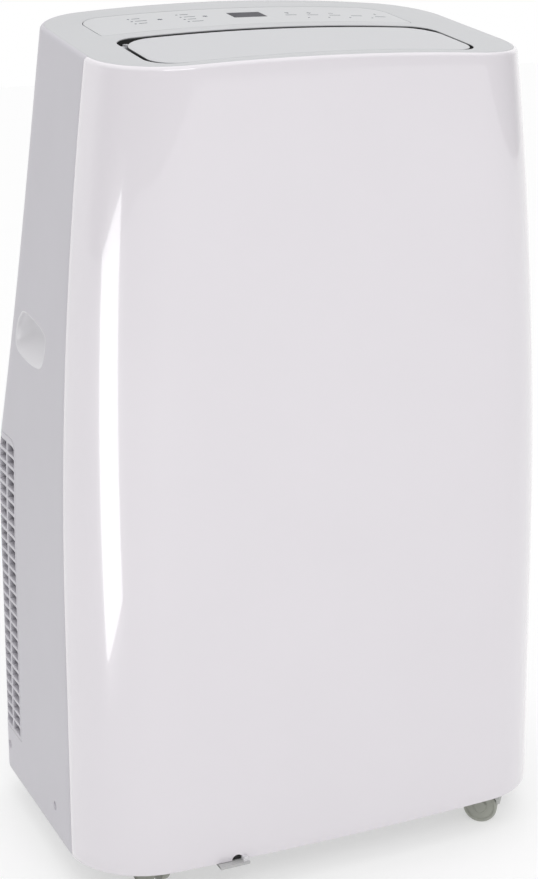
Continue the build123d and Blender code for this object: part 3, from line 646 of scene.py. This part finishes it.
# %% Side grilles
BAR_DEPTH = 7.5 * MM
SLOT_ROWS, ROW_PITCH, BAR, FIRST_ROW = 26, 10.48 * MM, 2.6 * MM, LIFT + 67.6 * MM
SLOT_COLUMNS, RIB, BORDER, END_BORDER = 7, 3.8 * MM, 3.0 * MM, 9.0 * MM
run = grille_length(LIFT + 0.2)
column_pitch = (run - BORDER - END_BORDER + RIB) / SLOT_COLUMNS
columns = spread(0.0, (BORDER, 3))
slot_spans = []
for i in range(SLOT_COLUMNS):
    start = BORDER + i * column_pitch
    slot_spans.append((start, start + column_pitch - RIB))
    columns += spread(start, (start + column_pitch - RIB, 5))[1:]
    columns.append(start + column_pitch if i < SLOT_COLUMNS - 1 else run)
rows = spread(GRILLE_LOW, (FIRST_ROW + BAR / 2, 3))
slot_rows = []
for i in range(SLOT_ROWS):
    low = FIRST_ROW + i * ROW_PITCH + BAR / 2
    high = low + ROW_PITCH - BAR
    slot_rows.append((low, high))
    rows.append(high)
    if i < SLOT_ROWS - 1:
        rows.append(high + BAR)
rows += spread(rows[-1], (GRILLE_HIGH, 3))[1:]
bm = bmesh.new()
bmesh.ops.create_grid(bm, x_segments=len(columns) - 1, y_segments=len(rows) - 1, size=0.5)
for v in bm.verts:
    v.co.x = columns[round((v.co.x + 0.5) * (len(columns) - 1))]
    v.co.y = rows[round((v.co.y + 0.5) * (len(rows) - 1))]
slots = []
for f in bm.faces:
    middle = f.calc_center_median()
    across = any(a < middle.x < b for a, b in slot_spans)
    if across and any(a < middle.y < b for a, b in slot_rows):
        slots.append(f)
bmesh.ops.delete(bm, geom=slots, context="FACES")
for v in bm.verts:
    length = grille_length(v.co.y)
    border = min(v.co.x, run - v.co.x) < BORDER + 1e-6 or not FIRST_ROW < v.co.y < GRILLE_HIGH - 5.5 * MM
    inset = 0.1 * MM if border else 0.5 * MM
    v.co = grille_point(v.co.x * length / run, v.co.y, inset)
face_away(bm, Vector((-0.1, 0.05, 0.2)))
grille = thicken(raw_object("side_grille_left", bm), BAR_DEPTH)
round_edges(grille, 0.45 * MM, angle=50, segments=2)
finish_piece(grille, satin_white, "casing", "lower_grille_left", crisp=40)


def twin(obj, name):
    """A mirror image of a finished piece on the other side of the unit."""
    mesh = obj.data.copy()
    mesh.transform(Matrix.Scale(-1, 4, (1, 0, 0)))
    mesh.flip_normals()
    copy = bpy.data.objects.new(name, mesh)
    bpy.context.scene.collection.objects.link(copy)
    return copy


finish_piece(twin(grille, "side_grille_right"), satin_white, "casing", "lower_grille_right", crisp=40)

# %% [markdown]
# ## Plates on the crowned top
# The cover, the flap, the control field and the display all lie in the same crowned, sloping surface, and
# differ only in outline. `rolled_plate` fills an outline (with holes), rolls its rims down in a quarter
# circle, closes the underside, and only then lifts every point to the top surface, so neighbours match.

# %% Rolled plate
def rounded_rect(x0, x1, y0, y1, rear_r, front_r, steps=10):
    loop = []
    corners = [(x1 - front_r, y0 + front_r, front_r, -90), (x1 - rear_r, y1 - rear_r, rear_r, 0),
               (x0 + rear_r, y1 - rear_r, rear_r, 90), (x0 + front_r, y0 + front_r, front_r, 180)]
    for cx, cy, r, start in corners:
        for k in range(steps + 1):
            angle = radians(start + 90 * k / steps)
            loop.append(Vector((cx + r * cos(angle), cy + r * sin(angle))))
    return loop


def subdivided(loop, longest=12 * MM):
    points = []
    for a, b in zip(loop, loop[1:] + loop[:1]):
        parts = max(1, int((b - a).length / longest))
        points += [a + (b - a) * k / parts for k in range(parts)]
    return points


SLICE = 14 * MM


def rolled_plate(loops, roll, depth, drop=0.0, undercut=0.0, steps=4):
    """A closed plate whose rims are rolled down; loops are the finished edges, the first one outside.

    An undercut draws the lower edge back under the rim, so that a gap beside it stays dark."""
    bm = bmesh.new()
    rims = []
    for index, loop in enumerate(loops):
        loop = subdivided(loop)
        area = sum(a.x * b.y - b.x * a.y for a, b in zip(loop, loop[1:] + loop[:1]))
        if (area > 0) != (index == 0):
            loop.reverse()
        outward = []
        for a, b in zip(loop[-1:] + loop[:-1], loop[1:] + loop[:1]):
            along = (b - a).normalized()
            outward.append(Vector((along.y, -along.x)))
        rims.append((loop, outward))
    levels = [(roll * (1 - sin(k * pi / 2 / steps)), -roll * (1 - cos(k * pi / 2 / steps))) for k in range(steps + 1)]
    levels.append((undercut, -depth))
    top_edges, low_edges = [], []
    for loop, outward in rims:
        first = levels[0]
        verts = [bm.verts.new((p.x - o.x * first[0], p.y - o.y * first[0], 0)) for p, o in zip(loop, outward)]
        ring = [bm.edges.new((a, b)) for a, b in zip(verts, verts[1:] + verts[:1])]
        top_edges += ring
        for inset, z in levels[1:]:
            places = [(p.x - o.x * inset, p.y - o.y * inset, z) for p, o in zip(loop, outward)]
            verts, ring = next_ring(bm, verts, ring, places)
        low_edges += ring
    bmesh.ops.triangle_fill(bm, use_beauty=True, edges=top_edges, normal=(0, 0, 1))
    bmesh.ops.triangle_fill(bm, use_beauty=True, edges=low_edges, normal=(0, 0, -1))
    for axis in (Vector((1, 0, 0)), Vector((0, 1, 0))):
        for k in range(-20, 21):
            bmesh.ops.bisect_plane(bm, geom=bm.verts[:] + bm.edges[:] + bm.faces[:], dist=5e-5,
                                   plane_co=axis * SLICE * (k + 0.13), plane_no=axis)
    bmesh.ops.recalc_face_normals(bm, faces=bm.faces)
    for v in bm.verts:
        v.co.z += top_at(v.co.x, v.co.y) - drop
    return bm


# %% [markdown]
# ## The top cover
# The cover is a single shallow tray set inside the casing's rim with a fine dark gap. It has an outlet for
# the air and a window for the control field. Two bosses under it hold the pins of the flap.

# %% Top cover
COVER_INSET = RIM + 0.45 * MM
COVER_T = 3.0 * MM
FLAP_X, CONTROL_X = -8 * MM, -12 * MM
OUTLET_FRONT_R = 26 * MM
OPENING = (284 * MM, -141.3 * MM, -43 * MM)
FLAP = (277 * MM, -141.0 * MM, -51 * MM)
FLAP_AXIS = (-60 * MM, LIFT + 686 * MM)
CONTROL = (280 * MM, -28 * MM, 40 * MM)
BOSS_IN, BOSS_OUT = OPENING[0] / 2 + 1.5 * MM, OPENING[0] / 2 + 7.5 * MM
outline = [skin_point(front_plan, u, NOMINAL_TOP, COVER_INSET).to_2d() for u in front_columns]
outline += [skin_point(rear_plan, u, NOMINAL_TOP, COVER_INSET).to_2d() for u in rear_columns[::-1]]
outline = [p for p, q in zip(outline, outline[1:] + outline[:1]) if (p - q).length > 0.8 * MM]


def field(size, rear_r, front_r, x=0.0, grow=0.0):
    width, front, rear = size
    return rounded_rect(x - width / 2 - grow, x + width / 2 + grow, front - grow, rear + grow, rear_r, front_r)


opening = field(OPENING, 18 * MM, OUTLET_FRONT_R, FLAP_X)
control_hole = field(CONTROL, 24 * MM, 4 * MM, CONTROL_X)
bm = rolled_plate([outline, opening, control_hole], 0.5 * MM, COVER_T, undercut=1.5 * MM)
axis_y, axis_z = FLAP_AXIS
for side in (-1, 1):
    x0, x1 = sorted((FLAP_X + side * BOSS_IN, FLAP_X + side * BOSS_OUT))
    roof = top_at(x0 if side < 0 else x1, axis_y) - 1.0 * MM
    box_mesh(bm, (x0, axis_y - 6 * MM, axis_z - 6 * MM), (x1, axis_y + 6 * MM, roof))
cover = raw_object("top_cover_tray", bm)
finish_piece(cover, top_grey, "casing", "top_cover", crisp=40)

# %% [markdown]
# ## The outlet liner
# A black wall runs round the outlet from just under the rim of the cover, and a thin ledge with a hole for the air
# lies across its foot. Together they keep the light of the room out of the body, and their near-black colour is
# painted shade, so the gap round the flap reads as a black line.

# %% Outlet liner
LINER_LOW, LINER_T, LINER_UNDER = LIFT + 668 * MM, 0.9 * MM, 1.0 * MM
LEDGE_T, LEDGE_DROP = 1.2 * MM, 22 * MM
DUCT_MOUTH = rounded_rect(-112 * MM, 112 * MM, -120 * MM, -50 * MM, 3 * MM, 3 * MM)
liner_loop = subdivided(field(OPENING, 17 * MM, OUTLET_FRONT_R - 1 * MM, FLAP_X, grow=-0.35 * MM), 6 * MM)
bm = bmesh.new()
verts = [bm.verts.new((p.x, p.y, top_at(p.x, p.y) - LINER_UNDER)) for p in liner_loop]
edges = [bm.edges.new((a, b)) for a, b in zip(verts, verts[1:] + verts[:1])]
wall = bmesh.ops.extrude_edge_only(bm, edges=edges)["geom"]
for v in wall:
    if isinstance(v, bmesh.types.BMVert):
        v.co.z = LINER_LOW
bmesh.ops.recalc_face_normals(bm, faces=bm.faces)
liner = thicken(raw_object("outlet_liner_painted_shade", bm), -LINER_T)
# Painted shade: the wall is near-black so the depth of the outlet reads dark.
finish_piece(liner, rubber_black, "casing", crisp=40)
ledge = rolled_plate([field(OPENING, 18 * MM, OUTLET_FRONT_R, FLAP_X, grow=1 * MM), DUCT_MOUTH], 0.3 * MM, LEDGE_T,
                     drop=LEDGE_DROP)
# Painted shade: the ledge is near-black as well, closing the view into the body.
finish_piece(raw_object("outlet_ledge_painted_shade", ledge), rubber_black, "casing", crisp=40)

# %% [markdown]
# ## The outlet flap
# The flap follows the same surface and hangs on two pins near its rear edge. Its rear corners are rounder
# than those of the opening, which leaves a dark wedge in each corner, and the gap is widest along its rear.

# %% Outlet flap
bm = rolled_plate([field(FLAP, 27 * MM, OUTLET_FRONT_R, FLAP_X)], 0.5 * MM, COVER_T, undercut=2.0 * MM)
for side in (-1, 1):
    x0, x1 = sorted((FLAP_X + side * (FLAP[0] / 2 - 6 * MM), FLAP_X + side * (FLAP[0] / 2 - 2 * MM)))
    roof = top_at(x0 if side < 0 else x1, axis_y) - 1.0 * MM
    box_mesh(bm, (x0, axis_y - 5 * MM, axis_z - 5 * MM), (x1, axis_y + 4 * MM, roof))
    inner_end, outer_end = side * (FLAP[0] / 2 - 4 * MM), side * (BOSS_OUT - 0.5 * MM)
    rod_mesh(bm, (FLAP_X + inner_end, axis_y, axis_z), (FLAP_X + outer_end, axis_y, axis_z), 2.5 * MM)
flap = raw_object("outlet_flap_panel", bm)
finish_piece(flap, flap_grey, "outlet_flap", "outlet_flap", crisp=40)

# %% [markdown]
# ## Control field, display and printing
# The control field is a film let into the cover, so its edge shows as a hair line. The display is a smoked
# window. The legends are screen printed: small rings, bars and dots lifted a few hundredths of a millimetre
# above the film. They are generic marks, without lettering.

# %% Control field
DISPLAY_X, DISPLAY_Y, DISPLAY = -10 * MM, 10 * MM, (30 * MM, 20 * MM)


def display_outline(half_x, half_y):
    return rounded_rect(DISPLAY_X - half_x, DISPLAY_X + half_x, DISPLAY_Y - half_y, DISPLAY_Y + half_y,
                        0.8 * MM, 0.8 * MM, steps=4)


control_edge = field(CONTROL, 23.4 * MM, 3.4 * MM, CONTROL_X, grow=-0.6 * MM)
film = rolled_plate([control_edge, display_outline(15 * MM, 10 * MM)], 0.25 * MM, 1.1 * MM, 0.1 * MM)
finish_piece(raw_object("control_field", film), overlay_grey, "casing", "control_overlay", crisp=40)
lens = rolled_plate([display_outline(14.8 * MM, 9.8 * MM)], 0.2 * MM, 1.1 * MM, 0.12 * MM)
finish_piece(raw_object("display_lens", lens), lens_dark, "casing", "display_window", crisp=40)

# %% Printing
PRINT_TOP, PRINT_T = -0.03 * MM, 0.09 * MM


def print_bar(bm, x, y, length, width, turn=0.0):
    """A printed bar centred at (x, y), in millimetres; its height follows the top surface later."""
    place = Matrix.Translation((x * MM, y * MM, 0)) @ Matrix.Rotation(radians(turn), 4, "Z")
    scale = Matrix.Diagonal((length * MM, width * MM, PRINT_T, 1))
    bmesh.ops.create_cube(bm, size=1.0, matrix=place @ scale)


def print_ring(bm, x, y, radius, width=0.0):
    """A printed ring, or a dot where no line width is given."""
    loop = [Vector((cos(k * pi / 12), sin(k * pi / 12))) * radius * MM + Vector((x * MM, y * MM)) for k in range(24)]
    verts = [bm.verts.new((p.x, p.y, -PRINT_T / 2)) for p in loop]
    face = bm.faces.new(verts)
    if width:
        bmesh.ops.inset_region(bm, faces=[face], thickness=width * MM)
        ring = [f for e in face.edges for f in e.link_faces if f is not face]
        bmesh.ops.delete(bm, geom=[face], context="FACES")
    else:
        ring = [face]
    raised = bmesh.ops.extrude_face_region(bm, geom=ring, use_keep_orig=True)["geom"]
    bmesh.ops.translate(bm, verts=[g for g in raised if isinstance(g, bmesh.types.BMVert)], vec=(0, 0, PRINT_T))


marks = bmesh.new()
for x, ys in ((-112, (20.9, 11.7, 2.5)), (-68.5, (22.7, 13.1, 3.8, -5.4))):
    for k, y in enumerate(ys):
        print_ring(marks, x, y, 1.0)
        print_bar(marks, x + 6.5 + (k % 2) * 1.5, y, 7 + (k % 2) * 3, 1.1)
for x, y in ((-87.7, 10.8), (-47.4, 11.3)):
    print_ring(marks, x, y, 4.2, 0.7)
    print_bar(marks, x, y, 4.6, 0.8, 30)
    print_bar(marks, x, y, 4.6, 0.8, 90)
    print_bar(marks, x, y, 4.6, 0.8, -30)
for x, y in ((28, 12), (48, 11), (68, 9.5), (88, 8), (110, 6)):
    print_ring(marks, x, y, 4.6, 0.7)
    print_bar(marks, x, y - 8.5, 10, 1.0)
for k in range(3):
    print_bar(marks, 28, 13.6 - 1.7 * k, 3.4 - k, 0.7)
print_bar(marks, 48, 11, 4.4, 0.8)
print_bar(marks, 48, 11, 0.8, 4.4)
print_bar(marks, 68, 9.5, 4.4, 0.8)
print_ring(marks, 88, 8, 2.0, 0.6)
print_bar(marks, 110, 8.4, 0.8, 3.6)
for x in (39, 58, 78, 99):
    print_ring(marks, x, -9, 0.9)
bmesh.ops.recalc_face_normals(marks, faces=marks.faces)
for v in marks.verts:
    v.co.z += top_at(v.co.x, v.co.y) + PRINT_TOP - PRINT_T / 2
finish_piece(raw_object("control_marks", marks), ink_grey, "casing")

# %% [markdown]
# ## Carrying scoops
# Each scoop is a finger pocket with the outline of a leaf. Rings of points shrink towards a deepest point that sits
# to the rear and top, so the wall is steep there and runs out gently towards the front, as the hand enters from
# below. The first rings roll over the rim of the casing, where they catch the light. The scoop's plastic is a lighter
# copy of the casing white, a painted highlight for its lit facets.

# %% Carrying scoops
DEEPEST = Vector((12 * MM, LIFT + 448 * MM))
SCOOP_RINGS = [(1.03, -0.8), (1.025, -0.1), (1.01, 0.1), (0.985, 0.0), (0.96, -0.6), (0.93, -1.8), (0.87, -3.6),
               (0.78, -5.8), (0.66, -8.2), (0.5, -10.6), (0.33, -12.4), (0.18, -13.4), (0.06, -13.8)]
leaf_middle = sum(leaf_loop, Vector((0, 0))) / len(leaf_loop)
bm = bmesh.new()
ring_verts = []
for index, (size, depth) in enumerate(SCOOP_RINGS):
    shift = 0.0 if index < 5 else (1 - size)
    centre = leaf_middle.lerp(DEEPEST, min(1.0, shift * 1.6))
    ring = []
    for p in leaf_loop:
        flat = centre + (p - leaf_middle) * size
        skin = half_width(flat.y) - CASING_INSET
        ring.append(Vector((-(skin + depth * MM), flat.x, flat.y)))
    if not ring_verts:
        ring_verts = [bm.verts.new(c) for c in ring]
        edges = [bm.edges.new((a, b)) for a, b in zip(ring_verts, ring_verts[1:] + ring_verts[:1])]
        continue
    ring_verts, edges = next_ring(bm, ring_verts, edges, ring)
bm.faces.new(ring_verts)
bmesh.ops.recalc_face_normals(bm, faces=bm.faces)
if sum(f.normal.x for f in bm.faces if f.calc_center_median().x > -0.19) > 0:
    bmesh.ops.reverse_faces(bm, faces=bm.faces)
scoop = thicken(raw_object("carry_scoop_left", bm), 1.6 * MM)
# The scoops' lighter white is a painted highlight.
finish_piece(scoop, scoop_white_painted_highlight, "casing", "handle_cup_left", crisp=60)
finish_piece(twin(scoop, "carry_scoop_right"), scoop_white_painted_highlight, "casing", "handle_cup_right", crisp=60)

# %% [markdown]
# ## Mesh behind the side grilles
# Behind the bars sits a black nylon mesh that keeps lint off the coil. Its strands are too fine to see, so
# a thin sheet that follows the grille at the depth of its bars is enough.

# %% Side meshes
mesh_columns = spread(4 * MM, (run - 4 * MM, 40))
mesh_rows = spread(GRILLE_LOW + 2 * MM, (GRILLE_HIGH - 8 * MM, 24))
bm = laid_grid(mesh_columns, mesh_rows, lambda s, z: grille_point(s, z, BAR_DEPTH + 1.2 * MM))
face_away(bm, Vector((-0.1, 0.05, 0.2)))
side_mesh = thicken(raw_object("side_mesh_left", bm), 0.8 * MM)
finish_piece(side_mesh, mesh_black, "casing")
finish_piece(twin(side_mesh, "side_mesh_right"), mesh_black, "casing")

# %% [markdown]
# ## The upper rear grille and its filter
# The grille that pulls out at the back is made the same way as the side grilles: a grid on the skin, slots
# deleted, bars thickened. Its filter is a frame with a woven screen; a wireframe of a fine grid gives real
# strands.

# %% Upper grille
REAR_ROWS, REAR_SLOT, REAR_BARS = 23, 9.0 * MM, (-42 * MM, 42 * MM)
grille_columns = spread(-half_window, (-123 * MM, 1), (-45 * MM, 10), (-39 * MM, 1), (39 * MM, 10), (45 * MM, 1),
                        (123 * MM, 10), (half_window, 1))
rear_pitch = (window_high - window_low - 12 * MM) / REAR_ROWS
grille_rows = [window_low]
for i in range(REAR_ROWS):
    low = window_low + 6 * MM + i * rear_pitch + (rear_pitch - REAR_SLOT) / 2
    grille_rows += [low, low + REAR_SLOT]
grille_rows.append(window_high)


def rear_face(x, z, inset):
    """A point on the back of the upper casing at a given x."""
    bow = REAR_BOW - inset
    return Vector((x, rear_at(z) - inset - bow + sqrt(bow ** 2 - x ** 2), z))


bm = laid_grid(grille_columns, grille_rows, lambda x, z: Vector((x, 0, z)))
slots = []
for f in bm.faces:
    middle = f.calc_center_median()
    row = [i for i in range(len(grille_rows) - 1) if grille_rows[i] < middle.z < grille_rows[i + 1]][0]
    if row % 2 and abs(middle.x) < 123 * MM and min(abs(middle.x - b) for b in REAR_BARS) > 3 * MM:
        slots.append(f)
bmesh.ops.delete(bm, geom=slots, context="FACES")
for v in bm.verts:
    v.co = rear_face(v.co.x, v.co.z, 0.3 * MM)
face_away(bm, Vector((0, 0, 0.4)))
upper = round_edges(thicken(raw_object("upper_grille_bars", bm), 3.2 * MM), 0.5 * MM, angle=50, segments=2)
finish_piece(upper, satin_white, "upper_grille", "upper_grille", crisp=40)

# %% Filter screen
screen = laid_grid(spread(-124 * MM, (124 * MM, 62)), spread(window_low + 5 * MM, (window_high - 5 * MM, 72)),
                   lambda x, z: rear_face(x, z, 5.4 * MM))
bmesh.ops.wireframe(screen, faces=screen.faces[:], thickness=0.45 * MM, offset=0.0, use_replace=True,
                    use_boundary=True, use_even_offset=True, use_relative_offset=False)
frame_rim = laid_grid(spread(-126 * MM, (-120 * MM, 1), (-2 * MM, 10), (2 * MM, 1), (120 * MM, 10), (126 * MM, 1)),
                      spread(window_low + 4 * MM, (window_low + 10 * MM, 1), (window_low + 146 * MM, 10),
                             (window_low + 150 * MM, 1), (window_high - 10 * MM, 10), (window_high - 4 * MM, 1)),
                      lambda x, z: Vector((x, 0, z)))
holes = [f for f in frame_rim.faces if 2 * MM < abs(f.calc_center_median().x) < 120 * MM
         and any(a < f.calc_center_median().z - window_low < b for a, b in ((0.010, 0.146), (0.150, 0.286)))]
bmesh.ops.delete(frame_rim, geom=holes, context="FACES")
for v in frame_rim.verts:
    v.co = rear_face(v.co.x, v.co.z, 4.2 * MM)
face_away(frame_rim, Vector((0, 0, 0.4)))
rim = round_edges(thicken(raw_object("filter_frame", frame_rim), 2.2 * MM), 0.4 * MM, angle=50, segments=2)
finish_piece(rim, inner_grey, "upper_grille", "upper_filter", crisp=40)
finish_piece(raw_object("filter_screen", screen), mesh_black, "upper_grille", crisp=60)

# %% [markdown]
# ## Casters
# Each caster has two wheels on one axle under a hood. A wheel is spun from a profile with a rounded tread, a
# shallow dish and a raised hub, which a plain disc lacks. The hoods are the frame's own parts.

# %% Caster wheels
CASTER_R, TRAIL = 15 * MM, 12 * MM
HEADINGS = {"front_left": 100.0, "front_right": -37.7, "rear_left": 78.0, "rear_right": 62.0}
PLACES = {"front_left": (-149, -113), "front_right": (149, -113), "rear_left": (-149, 88), "rear_right": (149, 88)}
WHEEL_PROFILE = [(0.0, 0.0), (13.4, 0.0), (14.5, 0.4), (15.0, 1.5), (15.0, 6.4), (14.5, 7.5), (13.4, 8.0),
                 (12.4, 7.7), (11.8, 6.9), (6.2, 6.5), (5.6, 7.4), (5.0, 8.0), (0.0, 8.0)]
for name, heading in HEADINGS.items():
    ahead = Vector((cos(radians(heading)), sin(radians(heading)), 0))
    axle = Vector((-ahead.y, ahead.x, 0))
    hub = Vector((PLACES[name][0] * MM, PLACES[name][1] * MM, CASTER_R)) + ahead * TRAIL
    wheels = bmesh.new()
    for side in (-1, 1):
        profile = [(r * MM, h * MM) for r, h in WHEEL_PROFILE]
        join_mesh(wheels, lathe(profile, hub + axle * side * 4 * MM, axle * side, 48))
    rod_mesh(wheels, hub - axle * 4.5 * MM, hub + axle * 4.5 * MM, 2.5 * MM)
    finish_piece(raw_object("twin_wheel_" + name, wheels), wheel_grey, "wheels_" + name, "caster_wheels_" + name,
                 crisp=40)

# %% [markdown]
# ## Rear fittings
# The exhaust collar, the drain plugs and the cord gland are turned parts with rounded lips, so each is spun
# from a profile. The side screws sit in small cups that catch the light as a crescent.

# %% Rear fittings
collar_profile = [(70, -14), (70, 16.4), (70.5, 17), (73.6, 17), (74.5, 16.2), (74.5, 4.6), (75.2, 3.8), (82, 3.3),
                  (83.4, 2.8), (84, 1.8), (84, 0.3), (74.5, 0.3), (74.5, -14)]
collar = lathe([(r * MM, h * MM) for r, h in collar_profile], Vector((0, REAR, PORT_Z)), (0, 1, 0), 128)
for angle in (45, 135, 225, 315):
    x, z = 79 * MM * cos(radians(angle)), PORT_Z + 79 * MM * sin(radians(angle))
    rod_mesh(collar, (x, REAR + 2 * MM, z), (x, REAR + 4.6 * MM, z), 3 * MM, 24, 2.6 * MM)
    lug_x, lug_z = 75 * MM * cos(radians(angle + 45)), PORT_Z + 75 * MM * sin(radians(angle + 45))
    rod_mesh(collar, (lug_x, REAR + 10 * MM, lug_z), (lug_x, REAR + 14 * MM, lug_z), 2.4 * MM, 20)
finish_piece(raw_object("exhaust_collar_ring", collar), fitting_grey, "casing", "exhaust_collar",
             35)

for key, (x, z) in SPOUTS.items():
    head = [(0, 4.9 + 3.0), (6.4, 7.9), (7.9, 7.4), (8.5, 6.6), (8.5, 5.0), (5.0, 5.0), (4.94, -9), (0, -9)]
    plug = lathe([(r * MM, h * MM) for r, h in head], Vector((x, REAR, z)), (0, 1, 0), 48)
    box_mesh(plug, (x - 1.5 * MM, REAR + 7 * MM, z - 6.5 * MM), (x + 1.5 * MM, REAR + 16 * MM, z + 6.5 * MM))
    obj = round_edges(raw_object(key + "_drain_stopper", plug), 0.5 * MM, angle=60, segments=2)
    finish_piece(obj, rubber_grey, key + "_plug", key + "_drain_plug", 35)

gland_profile = [(4.2, -15), (4.2, 9), (5.0, 9.6), (6.4, 9.6), (7.4, 8.8), (8.8, 4.3), (13.0, 3.8), (14.0, 3.0),
                 (14.0, 0.3), (8.8, 0.3), (8.8, -15)]
gland = lathe([(r * MM, h * MM) for r, h in gland_profile], Vector((GLAND[0], REAR, GLAND[1])), (0, 1, 0), 56)
finish_piece(raw_object("cord_gland_bush", gland), rubber_black, "casing", "power_inlet_gland", 35)

CUP_SUNK = 0.15 * MM
CUP_PROFILE = [(4.9, -0.9), (4.75, -0.1), (4.3, 0.1), (3.9, -0.15), (3.5, -1.2), (2.9, -2.0), (0, -2.0), (0, -2.6),
               (4.9, -2.6)]
cups = bmesh.new()
for y, z in SCREWS:
    for side in (-1, 1):
        at_skin = Vector((side * (HALF - CUP_SUNK), y, z))
        join_mesh(cups, lathe([(r * MM, h * MM) for r, h in CUP_PROFILE], at_skin, (side, 0, 0), 40))
        for turn in (0, 90):
            place = Matrix.Translation((side * (HALF - 1.9 * MM), y, z)) @ Matrix.Rotation(radians(turn + 20), 4, "X")
            bmesh.ops.create_cube(cups, size=1.0, matrix=place @ Matrix.Diagonal((0.3 * MM, 3.2 * MM, 0.7 * MM, 1)))
finish_piece(raw_object("screw_cups", cups), satin_white, "casing", "casing_screws", 35)

# %% [markdown]
# ## The catch under the front edge
# A small knob sits behind the notch of the panel; it belongs to the catch that joins panel and base. Behind it a thin
# black box is painted shade, standing in for the dark hollow of the notch.

# %% Front catch
catch = bmesh.new()
knob_x = -86.5 * MM
rod_mesh(catch, (knob_x, FRONT - 2.6 * MM, SKIRT + 0.6 * MM), (knob_x, FRONT + 6 * MM, SKIRT + 0.6 * MM), 2.9 * MM)
box_mesh(catch, (-110 * MM, FRONT - 3.8 * MM, SKIRT - 2.4 * MM), (-84 * MM, FRONT + 8 * MM, SKIRT - 0.4 * MM))
obj = round_edges(raw_object("front_catch", catch), 0.7 * MM, angle=50, segments=3)
# The knob uses the scoops' lightened white, which paints a highlight.
finish_piece(obj, scoop_white_painted_highlight, "casing", crisp=35)
# Painted shade: a thin black box behind the notch makes its hollow read dark.
pocket = bmesh.new()
box_mesh(pocket, (NOTCH_X - 6 * MM, FRONT + 3.0 * MM, SKIRT + 0.5 * MM),
         (NOTCH_X + 6 * MM, FRONT + 4.2 * MM, SKIRT + 6.5 * MM))
obj = round_edges(raw_object("notch_painted_shade", pocket), 0.3 * MM, angle=50, segments=2)
finish_piece(obj, rubber_black, "casing", crisp=35)

# %% [markdown]
# ## Finishes for the parts that come straight from the frame
# Everything inside keeps its CAD shape and gets the finish that such a part usually has: black enamel on
# the compressor, drawn copper on the pipes, dark moulded scrolls round the blowers.

# %% Finishes for CAD nodes
fins = moulded("fin_aluminium", (0.30, 0.31, 0.32), tone=0.1, rough=0.35, grain=0.0012, depth=0.0002, metallic=0.8)
by_slot = {
    "front_gloss": gloss_white, "casing_satin": satin_white, "top_satin": top_grey, "pan_plastic": pan_grey,
    "flap_satin": flap_grey, "filter_mesh": mesh_black, "inner_plastic": inner_grey, "duct_plastic": duct_dark,
    "fan_plastic": fan_black, "motor_steel": motor_paint, "compressor_paint": black_enamel,
    "rubber_black": rubber_black, "copper": copper, "fin_aluminium": fins, "vane_plastic": vane_grey,
    "small_motor": motor_paint, "circuit_board": board_green, "overlay_film": overlay_grey, "dark_lens": lens_dark,
    "fitting_plastic": fitting_grey, "plug_rubber": rubber_grey, "screw_steel": zinc, "caster_hood": caster_grey,
    "caster_wheel": wheel_grey,
}
for part in frame["record"]["subparts"]:
    node = frame["nodes"].get(part.get("node"))
    if node is None or node.type != "MESH":
        continue
    finish = by_slot[part["material_slot"]] if part.get("material_slot") in by_slot else inner_grey
    for material_slot in node.material_slots:
        material_slot.material = finish
print("CAD nodes finished", len(frame["nodes"]))
